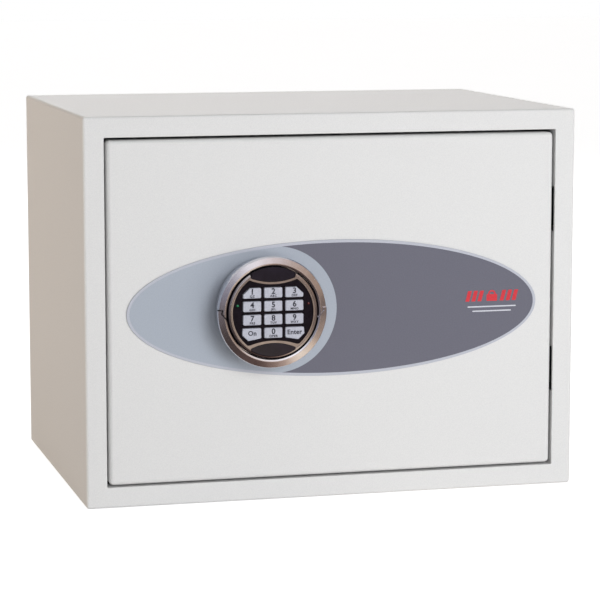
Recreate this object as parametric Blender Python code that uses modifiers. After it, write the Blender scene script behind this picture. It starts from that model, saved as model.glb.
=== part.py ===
"""In-room safe: a flush steel door on concealed hinges, with a round electronic keypad.

Metres, +Z up. X runs across the front and +Y goes into the safe. The origin is in the
middle of the whole safe, keypad included, on the surface that it stands on.

At rest the door is shut and its bolts are drawn back, so it is free to swing. Turning the
keypad's outer ring anticlockwise throws the bolts behind the left edge of the body.
"""
import math

import bmesh
import bpy
from mathutils import Matrix, Vector

# ---------------------------------------------------------------- driving dimensions
WIDTH = 0.392
HEIGHT = 0.300
DEPTH = 0.280            # body only, without the keypad
SHEET = 0.002            # steel of the body
BORDER = 0.016           # body visible round the door opening
CLEAR = 0.0003           # gap between pieces that touch on the real safe

DOOR_GAP_SIDE = 0.0018
DOOR_GAP_TOP = 0.0023
DOOR_GAP_BOTTOM = 0.0015
DOOR_DEPTH = 0.0143      # depth of the folded door pan
DOOR_CORNER = 0.0035     # radius of the pan's folds

RETURN_DEPTH = 0.0155    # how far the opening's folded edge goes in from the front
HINGE_HEIGHTS = (0.0931, 0.2208)
HINGE_SLOT = 0.036       # height of the cut in the folded edge at each hinge
HINGE_ARM = 0.030        # height of each hinge arm
PIVOT_OUT = 0.0118       # hinge axis, out from the door's right edge
PIVOT_IN = 0.0057        # hinge axis, in from the front

DIAL_X = -0.0551         # axis of the keypad and its spindle
DIAL_Z = 0.1502
KEY_TOP = 0.0248         # front of the keys, from the front of the door
BOLT_THROW = 0.013
DIAL_TURN = math.radians(75)
BOLT_HEIGHTS = (0.090, 0.210)
BOLT_RADIUS = 0.009

# ---------------------------------------------------------------- places worked out
FACE_Y = -(DEPTH + KEY_TOP) / 2 + KEY_TOP     # front of the body and of the door
BACK_Y = FACE_Y + DEPTH
INNER_X = WIDTH / 2 - SHEET
OPEN_X = WIDTH / 2 - BORDER                   # half the width of the door opening
OPEN_LOW = BORDER
OPEN_HIGH = HEIGHT - BORDER
DOOR_X = OPEN_X - DOOR_GAP_SIDE
DOOR_LOW = OPEN_LOW + DOOR_GAP_BOTTOM
DOOR_HIGH = OPEN_HIGH - DOOR_GAP_TOP
PIVOT_X = DOOR_X + PIVOT_OUT
PIVOT_Y = FACE_Y + PIVOT_IN
PLATE_Y = FACE_Y + DOOR_DEPTH                 # back of the door's inner plate
MOUNT_Y = PLATE_Y + CLEAR                     # front of what is fixed to that plate
COVER_Y = FACE_Y + 0.045                      # back of the rear cover
BOLT_Y = FACE_Y + 0.026
CAM_RADIUS = BOLT_THROW / 2 / math.sin(DIAL_TURN / 2)
CAM_X = DIAL_X + CAM_RADIUS * math.sin(DIAL_TURN / 2)
CAM_Z = DIAL_Z + CAM_RADIUS * math.cos(DIAL_TURN / 2)


# ---------------------------------------------------------------- collections, materials
def clear_scene():
    for item in list(bpy.data.objects):
        bpy.data.objects.remove(item, do_unlink=True)


def collection(name):
    group = bpy.data.collections.new(name)
    bpy.context.scene.collection.children.link(group)
    return group


def material(name, colour, roughness, metallic=0.0):
    made = bpy.data.materials.new(name)
    made.use_nodes = True
    shader = made.node_tree.nodes["Principled BSDF"]
    shader.inputs["Base Color"].default_value = (*colour, 1.0)
    shader.inputs["Roughness"].default_value = roughness
    shader.inputs["Metallic"].default_value = metallic
    return made


clear_scene()
PARTS = collection("in_room_safe")
CUTTERS = collection("cutters")

COAT = material("powder_coat", (0.68, 0.68, 0.67), 0.55)
ZINC = material("zinc_steel", (0.55, 0.56, 0.57), 0.35, 1.0)
HARD = material("hard_steel", (0.35, 0.35, 0.36), 0.4, 1.0)
CHROME = material("nickel_chrome", (0.72, 0.68, 0.64), 0.18, 1.0)
BADGE = material("badge_face", (0.15, 0.15, 0.18), 0.45)
BLACK = material("black_moulding", (0.015, 0.014, 0.016), 0.3)
GLOSS = material("black_window", (0.01, 0.01, 0.012), 0.08)
KEYS = material("key_caps", (0.5, 0.5, 0.6), 0.4)
SILICONE = material("silicone_mat", (0.05, 0.05, 0.06), 0.7)
BOARD = material("circuit_board", (0.02, 0.12, 0.05), 0.5)
GREEN = material("green_led", (0.02, 0.35, 0.12), 0.2)
RED = material("red_led", (0.3, 0.02, 0.02), 0.2)
FELT = material("floor_felt", (0.04, 0.04, 0.045), 0.95)
PLUG = material("grey_plastic", (0.25, 0.25, 0.26), 0.5)
LOCK = material("lock_casting", (0.4, 0.4, 0.41), 0.5, 0.8)
WIRE = material("lead_sheath", (0.03, 0.03, 0.03), 0.5)


# ---------------------------------------------------------------- making shapes
def add(name, mesh, look=None, parent=None, group=PARTS):
    """Puts a mesh in the scene as the object called name, in its parent's frame."""
    item = bpy.data.objects.new(name, mesh)
    group.objects.link(item)
    if look:
        mesh.materials.append(look)
    if group == CUTTERS:
        item.hide_render = True
        item.display_type = "WIRE"
    item.parent = parent
    return item


def empty(name, place, turn=(0, 0, 0)):
    """A frame for the pieces that share an axis."""
    frame = bpy.data.objects.new(name, None)
    PARTS.objects.link(frame)
    frame.location = place
    frame.rotation_euler = turn
    return frame


def box_mesh(name, low, high):
    """A box mesh between two corners."""
    mesh = bpy.data.meshes.new(name)
    solid = bmesh.new()
    bmesh.ops.create_cube(solid, size=1.0)
    size = Vector(high) - Vector(low)
    middle = (Vector(high) + Vector(low)) / 2
    place = Matrix.Translation(middle) @ Matrix.Diagonal((*size, 1))
    bmesh.ops.transform(solid, matrix=place, verts=solid.verts)
    solid.to_mesh(mesh)
    solid.free()
    return mesh


def box(name, low, high, look=None, parent=None, group=PARTS, bevel=0.0, segments=2):
    item = add(name, box_mesh(name, low, high), look, parent, group)
    if bevel:
        round_edges(item, bevel, segments)
    return item


def round_edges(item, width, segments=2):
    edge = item.modifiers.new("rounded edges", "BEVEL")
    edge.width = width
    edge.segments = segments
    edge.limit_method = "ANGLE"
    edge.angle_limit = math.radians(35)


def smooth(item, angle=35):
    item.data.shade_smooth()
    item.data.set_sharp_from_angle(angle=math.radians(angle))


def outline_mesh(name, outlines, low, high):
    """A flat outline, with its holes, in the XY plane and as thick as low to high along Z."""
    curve = bpy.data.curves.new(name, "CURVE")
    curve.dimensions = "2D"
    curve.fill_mode = "BOTH"
    curve.resolution_u = 1
    curve.render_resolution_u = 0
    curve.extrude = (high - low) / 2
    for points in outlines:
        spline = curve.splines.new("POLY")
        spline.points.add(len(points) - 1)
        for point, (x, y) in zip(spline.points, points):
            point.co = (x, y, 0, 1)
        spline.use_cyclic_u = True
    flat = bpy.data.objects.new(name, curve)
    bpy.context.scene.collection.objects.link(flat)
    bpy.context.view_layer.update()
    mesh = bpy.data.meshes.new_from_object(flat.evaluated_get(bpy.context.evaluated_depsgraph_get()))
    bpy.data.objects.remove(flat, do_unlink=True)
    solid = bmesh.new()
    solid.from_mesh(mesh)
    bmesh.ops.remove_doubles(solid, verts=solid.verts, dist=1e-6)
    bmesh.ops.recalc_face_normals(solid, faces=solid.faces)
    bmesh.ops.translate(solid, vec=(0, 0, (low + high) / 2), verts=solid.verts)
    solid.to_mesh(mesh)
    solid.free()
    mesh.materials.clear()
    mesh.name = name
    return mesh


def plate(name, outlines, low, high, look=None, parent=None, group=PARTS):
    return add(name, outline_mesh(name, outlines, low, high), look, parent, group)


def turned(name, profile, look=None, parent=None, group=PARTS, steps=32):
    """A closed profile of (radius, height) turned about Z, outer side from top to bottom first."""
    mesh = bpy.data.meshes.new(name)
    points = [(radius, 0.0, height) for radius, height in profile]
    count = len(points)
    on_axis = profile[0][0] == 0.0 and profile[-1][0] == 0.0
    edges = [(i, i + 1) for i in range(count - 1)]
    if not on_axis:
        edges.append((count - 1, 0))
    mesh.from_pydata(points, edges, [])
    item = add(name, mesh, look, parent, group)
    turn = item.modifiers.new("turned", "SCREW")
    turn.angle = math.tau
    turn.steps = steps
    turn.render_steps = steps
    turn.use_merge_vertices = True
    turn.merge_threshold = 1e-5
    turn.use_smooth_shade = True
    return item


def cylinder(name, radius, low, high, look=None, parent=None, group=PARTS, steps=24, chamfer=0.0):
    """A round bar along Z, with its top edge chamfered where asked."""
    profile = [(0.0, high), (radius - chamfer, high)]
    if chamfer:
        profile.append((radius, high - chamfer))
    profile += [(radius, low), (0.0, low)]
    return turned(name, profile, look, parent, group, steps)


def cut(item, cutter):
    hole = item.modifiers.new("cut " + cutter.name, "BOOLEAN")
    hole.operation = "DIFFERENCE"
    hole.solver = "EXACT"
    hole.object = cutter


def join(item, other):
    """Adds a shape to an item with a Boolean union."""
    union = item.modifiers.new("join " + other.name, "BOOLEAN")
    union.operation = "UNION"
    union.solver = "EXACT"
    union.object = other


def arc(centre, radius, start, end, count):
    """Points on an arc, angles in degrees anticlockwise from +X."""
    steps = [start + (end - start) * i / count for i in range(count + 1)]
    return [
        (centre[0] + radius * math.cos(math.radians(a)), centre[1] + radius * math.sin(math.radians(a)))
        for a in steps
    ]


def circle(centre, radius, count=32):
    return arc(centre, radius, 0, 360, count)[:-1]


def rectangle(low, high):
    return [(low[0], low[1]), (high[0], low[1]), (high[0], high[1]), (low[0], high[1])]


def rounded_rectangle(low, high, radius, count=4):
    corners = (((high[0] - radius, high[1] - radius), 0), ((low[0] + radius, high[1] - radius), 90),
               ((low[0] + radius, low[1] + radius), 180), ((high[0] - radius, low[1] + radius), 270))
    return [point for centre, start in corners for point in arc(centre, radius, start, start + 90, count)]


# Frames. A front frame's X is the safe's X, its Y is up and its Z comes out of the front.
FRONT_TURN = (math.radians(90), 0, 0)
BODY = empty("body_frame", (0, 0, 0))
DOOR = empty("door_hinge_axis", (PIVOT_X, PIVOT_Y, 0))
DIAL = empty("dial_axis", (DIAL_X, FACE_Y, DIAL_Z), FRONT_TURN)


def across(name, x, y, z):
    """A frame whose Z runs to the safe's left, for what slides or lies across it."""
    return empty(name, (x, y, z), (0, math.radians(-90), 0))


# ---------------------------------------------------------------- body of the safe
ANCHOR_X = 0.110
ANCHOR_RADIUS = 0.0055
ANCHOR_FLOOR_Y = FACE_Y + DEPTH * 0.55
ANCHOR_BACK_Z = HEIGHT * 0.55


def outer_shell():
    """Wrapped sheet with a front border, whose inner edge is folded in round the opening."""
    shell = box("outer_shell", (-WIDTH / 2, FACE_Y, 0), (WIDTH / 2, BACK_Y, HEIGHT), COAT, BODY, bevel=0.002)
    inside = box("cut_inside", (-INNER_X, FACE_Y + SHEET, SHEET),
                 (INNER_X, BACK_Y + 0.01, HEIGHT - SHEET), parent=BODY, group=CUTTERS)
    fold = box("folded_edge", (-OPEN_X - SHEET, FACE_Y + SHEET / 2, OPEN_LOW - SHEET),
               (OPEN_X + SHEET, FACE_Y + RETURN_DEPTH, OPEN_HIGH + SHEET), parent=BODY, group=CUTTERS)
    opening = box("cut_opening", (-OPEN_X, FACE_Y - 0.01, OPEN_LOW),
                  (OPEN_X, FACE_Y + RETURN_DEPTH + 0.01, OPEN_HIGH), parent=BODY, group=CUTTERS)
    cut(shell, inside)
    join(shell, fold)
    cut(shell, opening)
    for number, height in enumerate(HINGE_HEIGHTS):
        slot = box(f"cut_hinge_slot_{number}",
                   (OPEN_X - 0.001, FACE_Y + SHEET + CLEAR, height - HINGE_SLOT / 2),
                   (OPEN_X + 0.003, FACE_Y + 0.02, height + HINGE_SLOT / 2), parent=BODY, group=CUTTERS)
        cut(shell, slot)
    for side in (-1, 1):
        hole = cylinder(f"cut_floor_anchor_{side}", ANCHOR_RADIUS, -0.01, 0.01, parent=BODY, group=CUTTERS)
        hole.location = (side * ANCHOR_X, ANCHOR_FLOOR_Y, 0)
        cut(shell, hole)
    return shell


def back_panel():
    edge = SHEET + CLEAR
    panel = box("back_panel", (-WIDTH / 2 + edge, BACK_Y - SHEET, edge),
                (WIDTH / 2 - edge, BACK_Y, HEIGHT - edge), COAT, BODY)
    for side in (-1, 1):
        hole = cylinder(f"cut_back_anchor_{side}", ANCHOR_RADIUS, -0.01, 0.01, parent=BODY, group=CUTTERS)
        hole.location = (side * ANCHOR_X, BACK_Y, ANCHOR_BACK_Z)
        hole.rotation_euler = FRONT_TURN
        cut(panel, hole)


def floor_mat():
    thickness = 0.0025
    mat = box("floor_mat", (-INNER_X + 0.003, FACE_Y + 0.022, SHEET + CLEAR),
              (INNER_X - 0.003, BACK_Y - SHEET - 0.003, SHEET + CLEAR + thickness), FELT, BODY)
    for side in (-1, 1):
        hole = cylinder(f"cut_mat_anchor_{side}", 0.012, -0.01, 0.02, parent=BODY, group=CUTTERS)
        hole.location = (side * ANCHOR_X, ANCHOR_FLOOR_Y, 0)
        cut(mat, hole)


def anchor_plugs():
    """Push-in caps that close the fixing holes until the safe is bolted down."""
    head = [(0.0, 0.0020), (0.0075, 0.0020), (0.0085, 0.0010), (0.0085, CLEAR)]
    stem = [(ANCHOR_RADIUS - CLEAR, CLEAR), (ANCHOR_RADIUS - CLEAR, -SHEET + 0.0002), (0.0, -SHEET + 0.0002)]
    places = []
    for side in (-1, 1):
        places.append(((side * ANCHOR_X, ANCHOR_FLOOR_Y, SHEET), (0, 0, 0)))
        places.append(((side * ANCHOR_X, BACK_Y - SHEET, ANCHOR_BACK_Z), FRONT_TURN))
    for number, (place, turn) in enumerate(places, 1):
        plug = turned(f"anchor_plug_{number}", head + stem, PLUG, BODY, steps=20)
        plug.location = place
        plug.rotation_euler = turn


PIN_RADIUS = 0.002
KNUCKLE_RADIUS = 0.0033
LUG = 0.003


def hinge_brackets():
    """A channel behind the border at each hinge, whose two lugs hold the pin."""
    for name, height in zip(("lower", "upper"), HINGE_HEIGHTS):
        half = HINGE_ARM / 2 + CLEAR
        low = height - half - LUG
        high = height + half + LUG
        left = OPEN_X + SHEET + CLEAR
        right = INNER_X - CLEAR
        front = FACE_Y + SHEET + CLEAR
        bracket = box(f"hinge_bracket_{name}", (left, front, low), (right, FACE_Y + 0.030, high), ZINC, BODY)
        swing = box(f"cut_bracket_{name}", (left - 0.01, front - 0.01, height - half),
                    (right + 0.01, FACE_Y + 0.024, height + half), parent=BODY, group=CUTTERS)
        cut(bracket, swing)
        corner = box(f"cut_bracket_corner_{name}", (left - 0.01, FACE_Y + 0.0095, low - 0.01),
                     (right - 0.002, FACE_Y + 0.040, high + 0.01), parent=BODY, group=CUTTERS)
        cut(bracket, corner)
        hole = cylinder(f"cut_pin_{name}", PIN_RADIUS + CLEAR, -0.05, 0.05,
                        parent=BODY, group=CUTTERS, steps=20)
        hole.location = (PIVOT_X, PIVOT_Y, height)
        cut(bracket, hole)
        head = [(0.0, half + LUG + 0.0015), (0.0026, half + LUG + 0.0015), (0.003, half + LUG + 0.0010)]
        shank = [(0.003, half + LUG + CLEAR), (PIN_RADIUS, half + LUG + CLEAR),
                 (PIN_RADIUS, -half - LUG), (0.0, -half - LUG)]
        pin = turned(f"hinge_pin_{name}", head + shank, HARD, BODY, steps=20)
        pin.location = (PIVOT_X, PIVOT_Y, height)


# ---------------------------------------------------------------- door
SPINDLE_RADIUS = 0.004
LEAD_DROP = 0.026        # keypad lead, below the dial's axis
LEAD_RADIUS = 0.0014


def door_frame_point(x, y, z):
    """A place in the safe, as the door's frame sees it."""
    return (x - PIVOT_X, y - PIVOT_Y, z)


def door_box(name, low, high, look=None, group=PARTS, bevel=0.0, segments=2):
    return box(name, door_frame_point(*low), door_frame_point(*high), look, DOOR, group, bevel, segments)


def front_of_door(name):
    """A frame on the front of the door that swings with it: X to the right, Y up, Z out."""
    frame = empty(name, door_frame_point(0, FACE_Y, 0), FRONT_TURN)
    frame.parent = DOOR
    return frame


DIAL.parent = DOOR
DIAL.location = door_frame_point(DIAL_X, FACE_Y, DIAL_Z)
DOOR_FACE = front_of_door("door_face_frame")


def drill_for_keypad(item, spindle_radius, lead_radius=0.0025):
    """Bores a piece for the spindle and for the keypad's lead."""
    for use, radius, drop in (("spindle", spindle_radius, 0.0), ("lead", lead_radius, LEAD_DROP)):
        hole = cylinder(f"cut_{use}_{item.name}", radius, -0.10, 0.05, parent=DIAL, group=CUTTERS)
        hole.location = (0, -drop, 0)
        cut(item, hole)


def door_skin():
    """The folded front pan, open at the back."""
    mesh = box_mesh("door_skin", door_frame_point(-DOOR_X, FACE_Y, DOOR_LOW),
                    door_frame_point(DOOR_X, FACE_Y + DOOR_DEPTH, DOOR_HIGH))
    solid = bmesh.new()
    solid.from_mesh(mesh)
    back = [face for face in solid.faces if face.normal.y > 0.5]
    bmesh.ops.delete(solid, geom=back, context="FACES_ONLY")
    folds = [edge for edge in solid.edges if len(edge.link_faces) == 2]
    bmesh.ops.bevel(solid, geom=folds, offset=DOOR_CORNER, segments=3, profile=0.5, affect="EDGES")
    solid.to_mesh(mesh)
    solid.free()
    skin = add("door_skin", mesh, COAT, DOOR)
    sheet = skin.modifiers.new("sheet", "SOLIDIFY")
    sheet.thickness = SHEET
    sheet.offset = -1
    drill_for_keypad(skin, 0.006)


def door_plates():
    """The inner plate that carries the lock work, and the drill-proof plate in front of the lock."""
    edge = SHEET + CLEAR
    outline = rounded_rectangle((-DOOR_X + edge, DOOR_LOW + edge), (DOOR_X - edge, DOOR_HIGH - edge), 0.003)
    back = FACE_Y - PLATE_Y
    inner = plate("door_inner_plate", [outline], back, back + 0.002, ZINC, DOOR_FACE)
    drill_for_keypad(inner, BUSH_RADIUS + CLEAR)
    hard = door_box("hard_plate", (-0.125, FACE_Y + 0.0065, 0.085), (-0.015, FACE_Y + 0.0105, 0.215), HARD)
    drill_for_keypad(hard, 0.005)


BADGE_X = 0.0002
BADGE_Z = 0.149
BADGE_HALF = (0.1643, 0.0531)


def badge_plate():
    """A thin oval plate on the front of the door."""
    steps = 72
    oval = []
    for i in range(steps):
        angle = math.tau * i / steps
        oval.append((BADGE_X + BADGE_HALF[0] * math.cos(angle), BADGE_Z + BADGE_HALF[1] * math.sin(angle)))
    badge = plate("badge_plate", [oval], CLEAR, 0.0011, BADGE, DOOR_FACE)
    drill_for_keypad(badge, 0.006)


ARM_SHEET = 0.003
ARM_BACK = 0.0150        # how far the gooseneck goes back from the hinge axis
ARM_FOOT = 0.050         # from the hinge axis to the end of the foot


def hinge_arms():
    """Gooseneck arms: back from the pin, round the folded edge and onto the inner plate."""
    half = ARM_SHEET / 2
    foot_front = MOUNT_Y - PIVOT_Y
    foot_back = foot_front + ARM_SHEET
    start = math.degrees(math.asin(half / KNUCKLE_RADIUS))
    knuckle = arc((0, 0), KNUCKLE_RADIUS, 90 + start, 450 - start, 20)
    neck = [
        (half, ARM_BACK), (-0.022, ARM_BACK), (-0.022, foot_back), (-ARM_FOOT, foot_back),
        (-ARM_FOOT, foot_front), (-0.019, foot_front), (-0.019, ARM_BACK - ARM_SHEET),
        (-half, ARM_BACK - ARM_SHEET),
    ]
    for name, height in zip(("lower", "upper"), HINGE_HEIGHTS):
        outline = [knuckle + neck, circle((0, 0), PIN_RADIUS + CLEAR, 20)]
        arm = plate(f"hinge_arm_{name}", outline, -HINGE_ARM / 2, HINGE_ARM / 2, HARD, DOOR)
        arm.location = (0, 0, height)


COVER_LEFT = -0.172
COVER_RIGHT = 0.134
COVER_LOW = 0.030
COVER_HIGH = 0.268
BRIM = 0.009
COVER_SHEET = 0.0015
BATTERY_LOW = (0.018, 0.117)
BATTERY_HIGH = (0.084, 0.183)


def rear_cover():
    """A pressed tray over the bolt work, with a brim above and below that is screwed down."""
    mesh = box_mesh("rear_cover", door_frame_point(COVER_LEFT, MOUNT_Y, COVER_LOW),
                    door_frame_point(COVER_RIGHT, COVER_Y, COVER_HIGH))
    solid = bmesh.new()
    solid.from_mesh(mesh)
    front = [face for face in solid.faces if face.normal.y < -0.5]
    bmesh.ops.delete(solid, geom=front, context="FACES_ONLY")
    folds = [edge for edge in solid.edges if len(edge.link_faces) == 2]
    bmesh.ops.bevel(solid, geom=folds, offset=0.004, segments=2, profile=0.5, affect="EDGES")
    solid.to_mesh(mesh)
    solid.free()
    cover = add("rear_cover", mesh, COAT, DOOR)
    sheet = cover.modifiers.new("sheet", "SOLIDIFY")
    sheet.thickness = COVER_SHEET
    sheet.offset = -1
    tray = rectangle((COVER_LEFT + 0.001, COVER_LOW + 0.001), (COVER_RIGHT - 0.001, COVER_HIGH - 0.001))
    brim = rectangle((COVER_LEFT + 0.006, COVER_LOW - BRIM), (COVER_RIGHT - 0.006, COVER_HIGH + BRIM))
    top = FACE_Y - MOUNT_Y
    join(cover, plate("cover_brim", [brim], top - COVER_SHEET, top, parent=DOOR_FACE, group=CUTTERS))
    cut(cover, plate("cut_cover_inside", [inset(tray, COVER_SHEET)], top - 0.004, top + 0.004,
                     parent=DOOR_FACE, group=CUTTERS))
    for number, height in enumerate(BOLT_HEIGHTS):
        hole = cylinder(f"cut_cover_bolt_{number}", BOLT_RADIUS + 0.001, -0.01, 0.01,
                        parent=DOOR, group=CUTTERS)
        hole.location = door_frame_point(COVER_LEFT, BOLT_Y, height)
        hole.rotation_euler = (0, math.radians(90), 0)
        cut(cover, hole)
    cut(cover, door_box("cut_battery_hatch", (BATTERY_LOW[0], COVER_Y - 0.01, BATTERY_LOW[1]),
                        (BATTERY_HIGH[0], COVER_Y + 0.01, BATTERY_HIGH[1]), group=CUTTERS))
    for number, (x, z) in enumerate(screw_places(), 1):
        hole = cylinder(f"cut_cover_screw_{number}", 0.0021, top - 0.01, top + 0.01,
                        parent=DOOR_FACE, group=CUTTERS, steps=16)
        hole.location = (x, z, 0)
        cut(cover, hole)


def inset(outline, distance):
    """A rectangle's outline moved in by a distance."""
    low = (outline[0][0] + distance, outline[0][1] + distance)
    high = (outline[2][0] - distance, outline[2][1] - distance)
    return rectangle(low, high)


def screw_places():
    inner = 0.030
    middle = BRIM / 2 - 0.0005
    return [(x, z) for x in (COVER_LEFT + inner, COVER_RIGHT - inner)
            for z in (COVER_LOW - middle, COVER_HIGH + middle)]


def cover_screws():
    """Pan-head screws with a cross recess, seen from inside the safe."""
    top = MOUNT_Y - FACE_Y + COVER_SHEET + CLEAR
    cross = box("cut_cross_1", (-0.0016, -0.0004, 0.0012), (0.0016, 0.0004, 0.004),
                parent=BODY, group=CUTTERS)
    other = box("cut_cross_2", (-0.0004, -0.0016, 0.0012), (0.0004, 0.0016, 0.004),
                parent=BODY, group=CUTTERS)
    join(cross, other)
    for number, (x, z) in enumerate(screw_places(), 1):
        place = door_frame_point(x, FACE_Y + top, z)
        frame = empty(f"cover_screw_frame_{number}", place, (math.radians(-90), 0, 0))
        frame.parent = DOOR
        profile = [(0.0, 0.0020), (0.0022, 0.0018), (0.0033, 0.0009), (0.0033, 0.0),
                   (0.0018, 0.0), (0.0018, -COVER_SHEET - CLEAR), (0.0, -COVER_SHEET - CLEAR)]
        screw = turned(f"cover_screw_{number}", profile, ZINC, frame, steps=16)
        recess = add(f"cut_recess_{number}", cross.data, parent=frame, group=CUTTERS)
        cut(screw, recess)
        across_recess = add(f"cut_recess_across_{number}", other.data, parent=frame, group=CUTTERS)
        cut(screw, across_recess)
    bpy.data.objects.remove(cross, do_unlink=True)
    bpy.data.objects.remove(other, do_unlink=True)


def battery_parts():
    """The battery pack on the inner plate, the hatch over it and its lead to the lock."""
    margin = 0.004
    pack = door_box("battery_pack", (BATTERY_LOW[0] + margin, MOUNT_Y, BATTERY_LOW[1] + margin),
                    (BATTERY_HIGH[0] - margin, FACE_Y + 0.036, BATTERY_HIGH[1] - margin), PLUG, bevel=0.002)
    grooves = 3
    width = BATTERY_HIGH[1] - BATTERY_LOW[1] - 2 * margin
    for number in range(1, grooves + 1):
        z = BATTERY_LOW[1] + margin + width * number / (grooves + 1)
        groove = door_box(f"cut_groove_{number}", (BATTERY_LOW[0], FACE_Y + 0.034, z - 0.001),
                          (BATTERY_HIGH[0], FACE_Y + 0.04, z + 0.001), group=CUTTERS)
        cut(pack, groove)
    lap = 0.004
    hatch = door_box("battery_cover", (BATTERY_LOW[0] - lap, COVER_Y + CLEAR, BATTERY_LOW[1] - lap),
                     (BATTERY_HIGH[0] + lap, COVER_Y + 0.0018, BATTERY_HIGH[1] + lap), PLUG,
                     bevel=0.0005, segments=1)
    grip = door_box("cut_hatch_grip", (0.044, COVER_Y + 0.0011, BATTERY_HIGH[1] - 0.012),
                    (0.058, COVER_Y + 0.01, BATTERY_HIGH[1] - 0.007), group=CUTTERS)
    cut(hatch, grip)


# ---------------------------------------------------------------- bolt work and lock
ARM_LEVEL = FACE_Y + 0.023      # front of the carriage's flat arm
ARM_THICK = 0.004
LUG_X = -0.080                  # left side of the lug that the lock bolt stops
LUG_WIDTH = 0.005


def bolt_carriage():
    """A flat arm that the cam drives, and an upright that carries the bolts."""
    left, right = -0.1375, -0.038
    low, high = 0.141, 0.171
    arm = [
        (left, low), (LUG_X, low), (LUG_X, 0.128), (LUG_X + LUG_WIDTH, 0.128),
        (LUG_X + LUG_WIDTH, low + 0.002),
        (right, low + 0.002), (right, high), (left, high),
    ]
    half = 0.0030
    slot = rectangle((CAM_X - half, DIAL_Z + 0.0045), (CAM_X + half, DIAL_Z + 0.0150))
    front = FACE_Y - ARM_LEVEL
    carriage = plate("bolt_carriage", [arm, slot], front - ARM_THICK, front, ZINC, DOOR_FACE)
    upright = door_box("carriage_upright", (-0.140, FACE_Y + 0.0165, 0.074),
                       (-0.136, FACE_Y + 0.0355, 0.226), group=CUTTERS)
    join(carriage, upright)


def bolts_and_guides():
    tip = -0.1745
    root = -0.1403
    for name, height in zip(("lower", "upper"), BOLT_HEIGHTS):
        frame = across(f"bolt_axis_{name}", *door_frame_point(root, BOLT_Y, height))
        frame.parent = DOOR
        cylinder(f"bolt_{name}", BOLT_RADIUS, 0.0, root - tip, CHROME, frame, steps=32, chamfer=0.0015)
        guide = door_box(f"bolt_guide_{name}", (-0.168, MOUNT_Y, height - 0.014),
                         (-0.1545, FACE_Y + 0.038, height + 0.014), PLUG, bevel=0.0015, segments=1)
        bore = cylinder(f"cut_guide_{name}", BOLT_RADIUS + CLEAR, -0.02, 0.05, parent=frame,
                        group=CUTTERS, steps=32)
        cut(guide, bore)


LOCK_BOLT = ((-0.087, 0.020, 0.098), (-0.081, 0.032, 0.1255))


def lock():
    """The lock's case with its own small bolt, which rises beside the carriage's lug."""
    case = door_box("lock_body", (-0.118, MOUNT_Y, 0.060), (-0.052, FACE_Y + 0.040, 0.1215), LOCK,
                    bevel=0.003)
    (left, near, low), (right, far, high) = LOCK_BOLT
    slack = 0.0004
    pocket = door_box("cut_lock_pocket", (left - slack, FACE_Y + near - slack, low - 0.009),
                      (right + slack, FACE_Y + far + slack, high + 0.02), group=CUTTERS)
    cut(case, pocket)
    door_box("lock_bolt", (left, FACE_Y + near, low), (right, FACE_Y + far, high), CHROME,
             bevel=0.0006, segments=1)


# ---------------------------------------------------------------- dial: ring, spindle and cam
RING_INNER = 0.0362
RING_TOP = 0.0238
RING_WALL = 0.0382       # inside of the wall that hides the keypad's base
NOTCH_LOW = 0.0208       # bottom of the notches at the ring's sides
WEB_LOW = 0.0090
WEB_HIGH = 0.0118
PILLARS = (30, 150, 270)
PILLAR_RING = LEAD_DROP
FACE_RADIUS = 0.0354


def bezel_ring():
    """The ring that the hand turns: a sloping rim, and a web that drives the spindle."""
    profile = [
        (0.0376, RING_TOP), (0.0424, 0.0222), (0.0429, 0.0214), (0.0427, 0.0180), (0.0404, 0.0018),
        (RING_WALL, 0.0018), (RING_WALL, WEB_LOW), (SPINDLE_RADIUS + CLEAR, WEB_LOW),
        (SPINDLE_RADIUS + CLEAR, WEB_HIGH), (RING_INNER, WEB_HIGH), (RING_INNER, RING_TOP - 0.0010),
        (RING_INNER + 0.0005, RING_TOP - 0.0002),
    ]
    ring = turned("bezel_ring", profile, CHROME, DIAL, steps=56)
    turn = math.degrees(DIAL_TURN)
    room = 11
    for number, pillar in enumerate(PILLARS):
        start, end = pillar - turn - room, pillar + room
        outline = arc((0, 0), 0.0312, start, end, 14) + arc((0, 0), 0.0208, end, start, 12)
        slot = plate(f"cut_web_slot_{number}", [outline], 0.007, 0.014, parent=DIAL, group=CUTTERS)
        cut(ring, slot)
    for side, name in ((-1, "left"), (1, "right")):
        near, far = sorted((side * 0.0392, side * 0.05))
        notch = box(f"cut_ring_notch_{name}", (near, 0.0026, NOTCH_LOW), (far, 0.0038, 0.03),
                    parent=DIAL, group=CUTTERS)
        cut(ring, notch)


def spindle_and_cam():
    """The spindle through the door and the lever whose pin draws the carriage."""
    end = FACE_Y - (ARM_LEVEL - 0.001)
    profile = [(0.0, 0.0134), (0.0060, 0.0134), (0.0060, WEB_HIGH + CLEAR),
               (SPINDLE_RADIUS, WEB_HIGH + CLEAR),
               (SPINDLE_RADIUS, end), (0.0, end)]
    turned("spindle", profile, ZINC, DIAL, steps=24)
    angle = 90 - math.degrees(DIAL_TURN) / 2
    back = -0.0206
    hub, nose = 0.0085, 0.0050
    pin = (CAM_X - DIAL_X, CAM_Z - DIAL_Z)
    lean = math.degrees(math.acos((hub - nose) / CAM_RADIUS))
    outline = (arc((0, 0), hub, angle + lean, angle + 360 - lean, 20)
               + arc(pin, nose, angle - lean, angle + lean, 10))
    bore = circle((0, 0), SPINDLE_RADIUS + CLEAR, 24)
    cam = plate("drive_cam", [outline, bore], back, back + 0.004, HARD, DIAL)
    peg = cylinder("cam_peg", 0.0025, -0.0278, back + 0.001, parent=DIAL, group=CUTTERS, steps=20)
    peg.location = (*pin, 0)
    join(cam, peg)


BUSH_RADIUS = 0.0066


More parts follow.
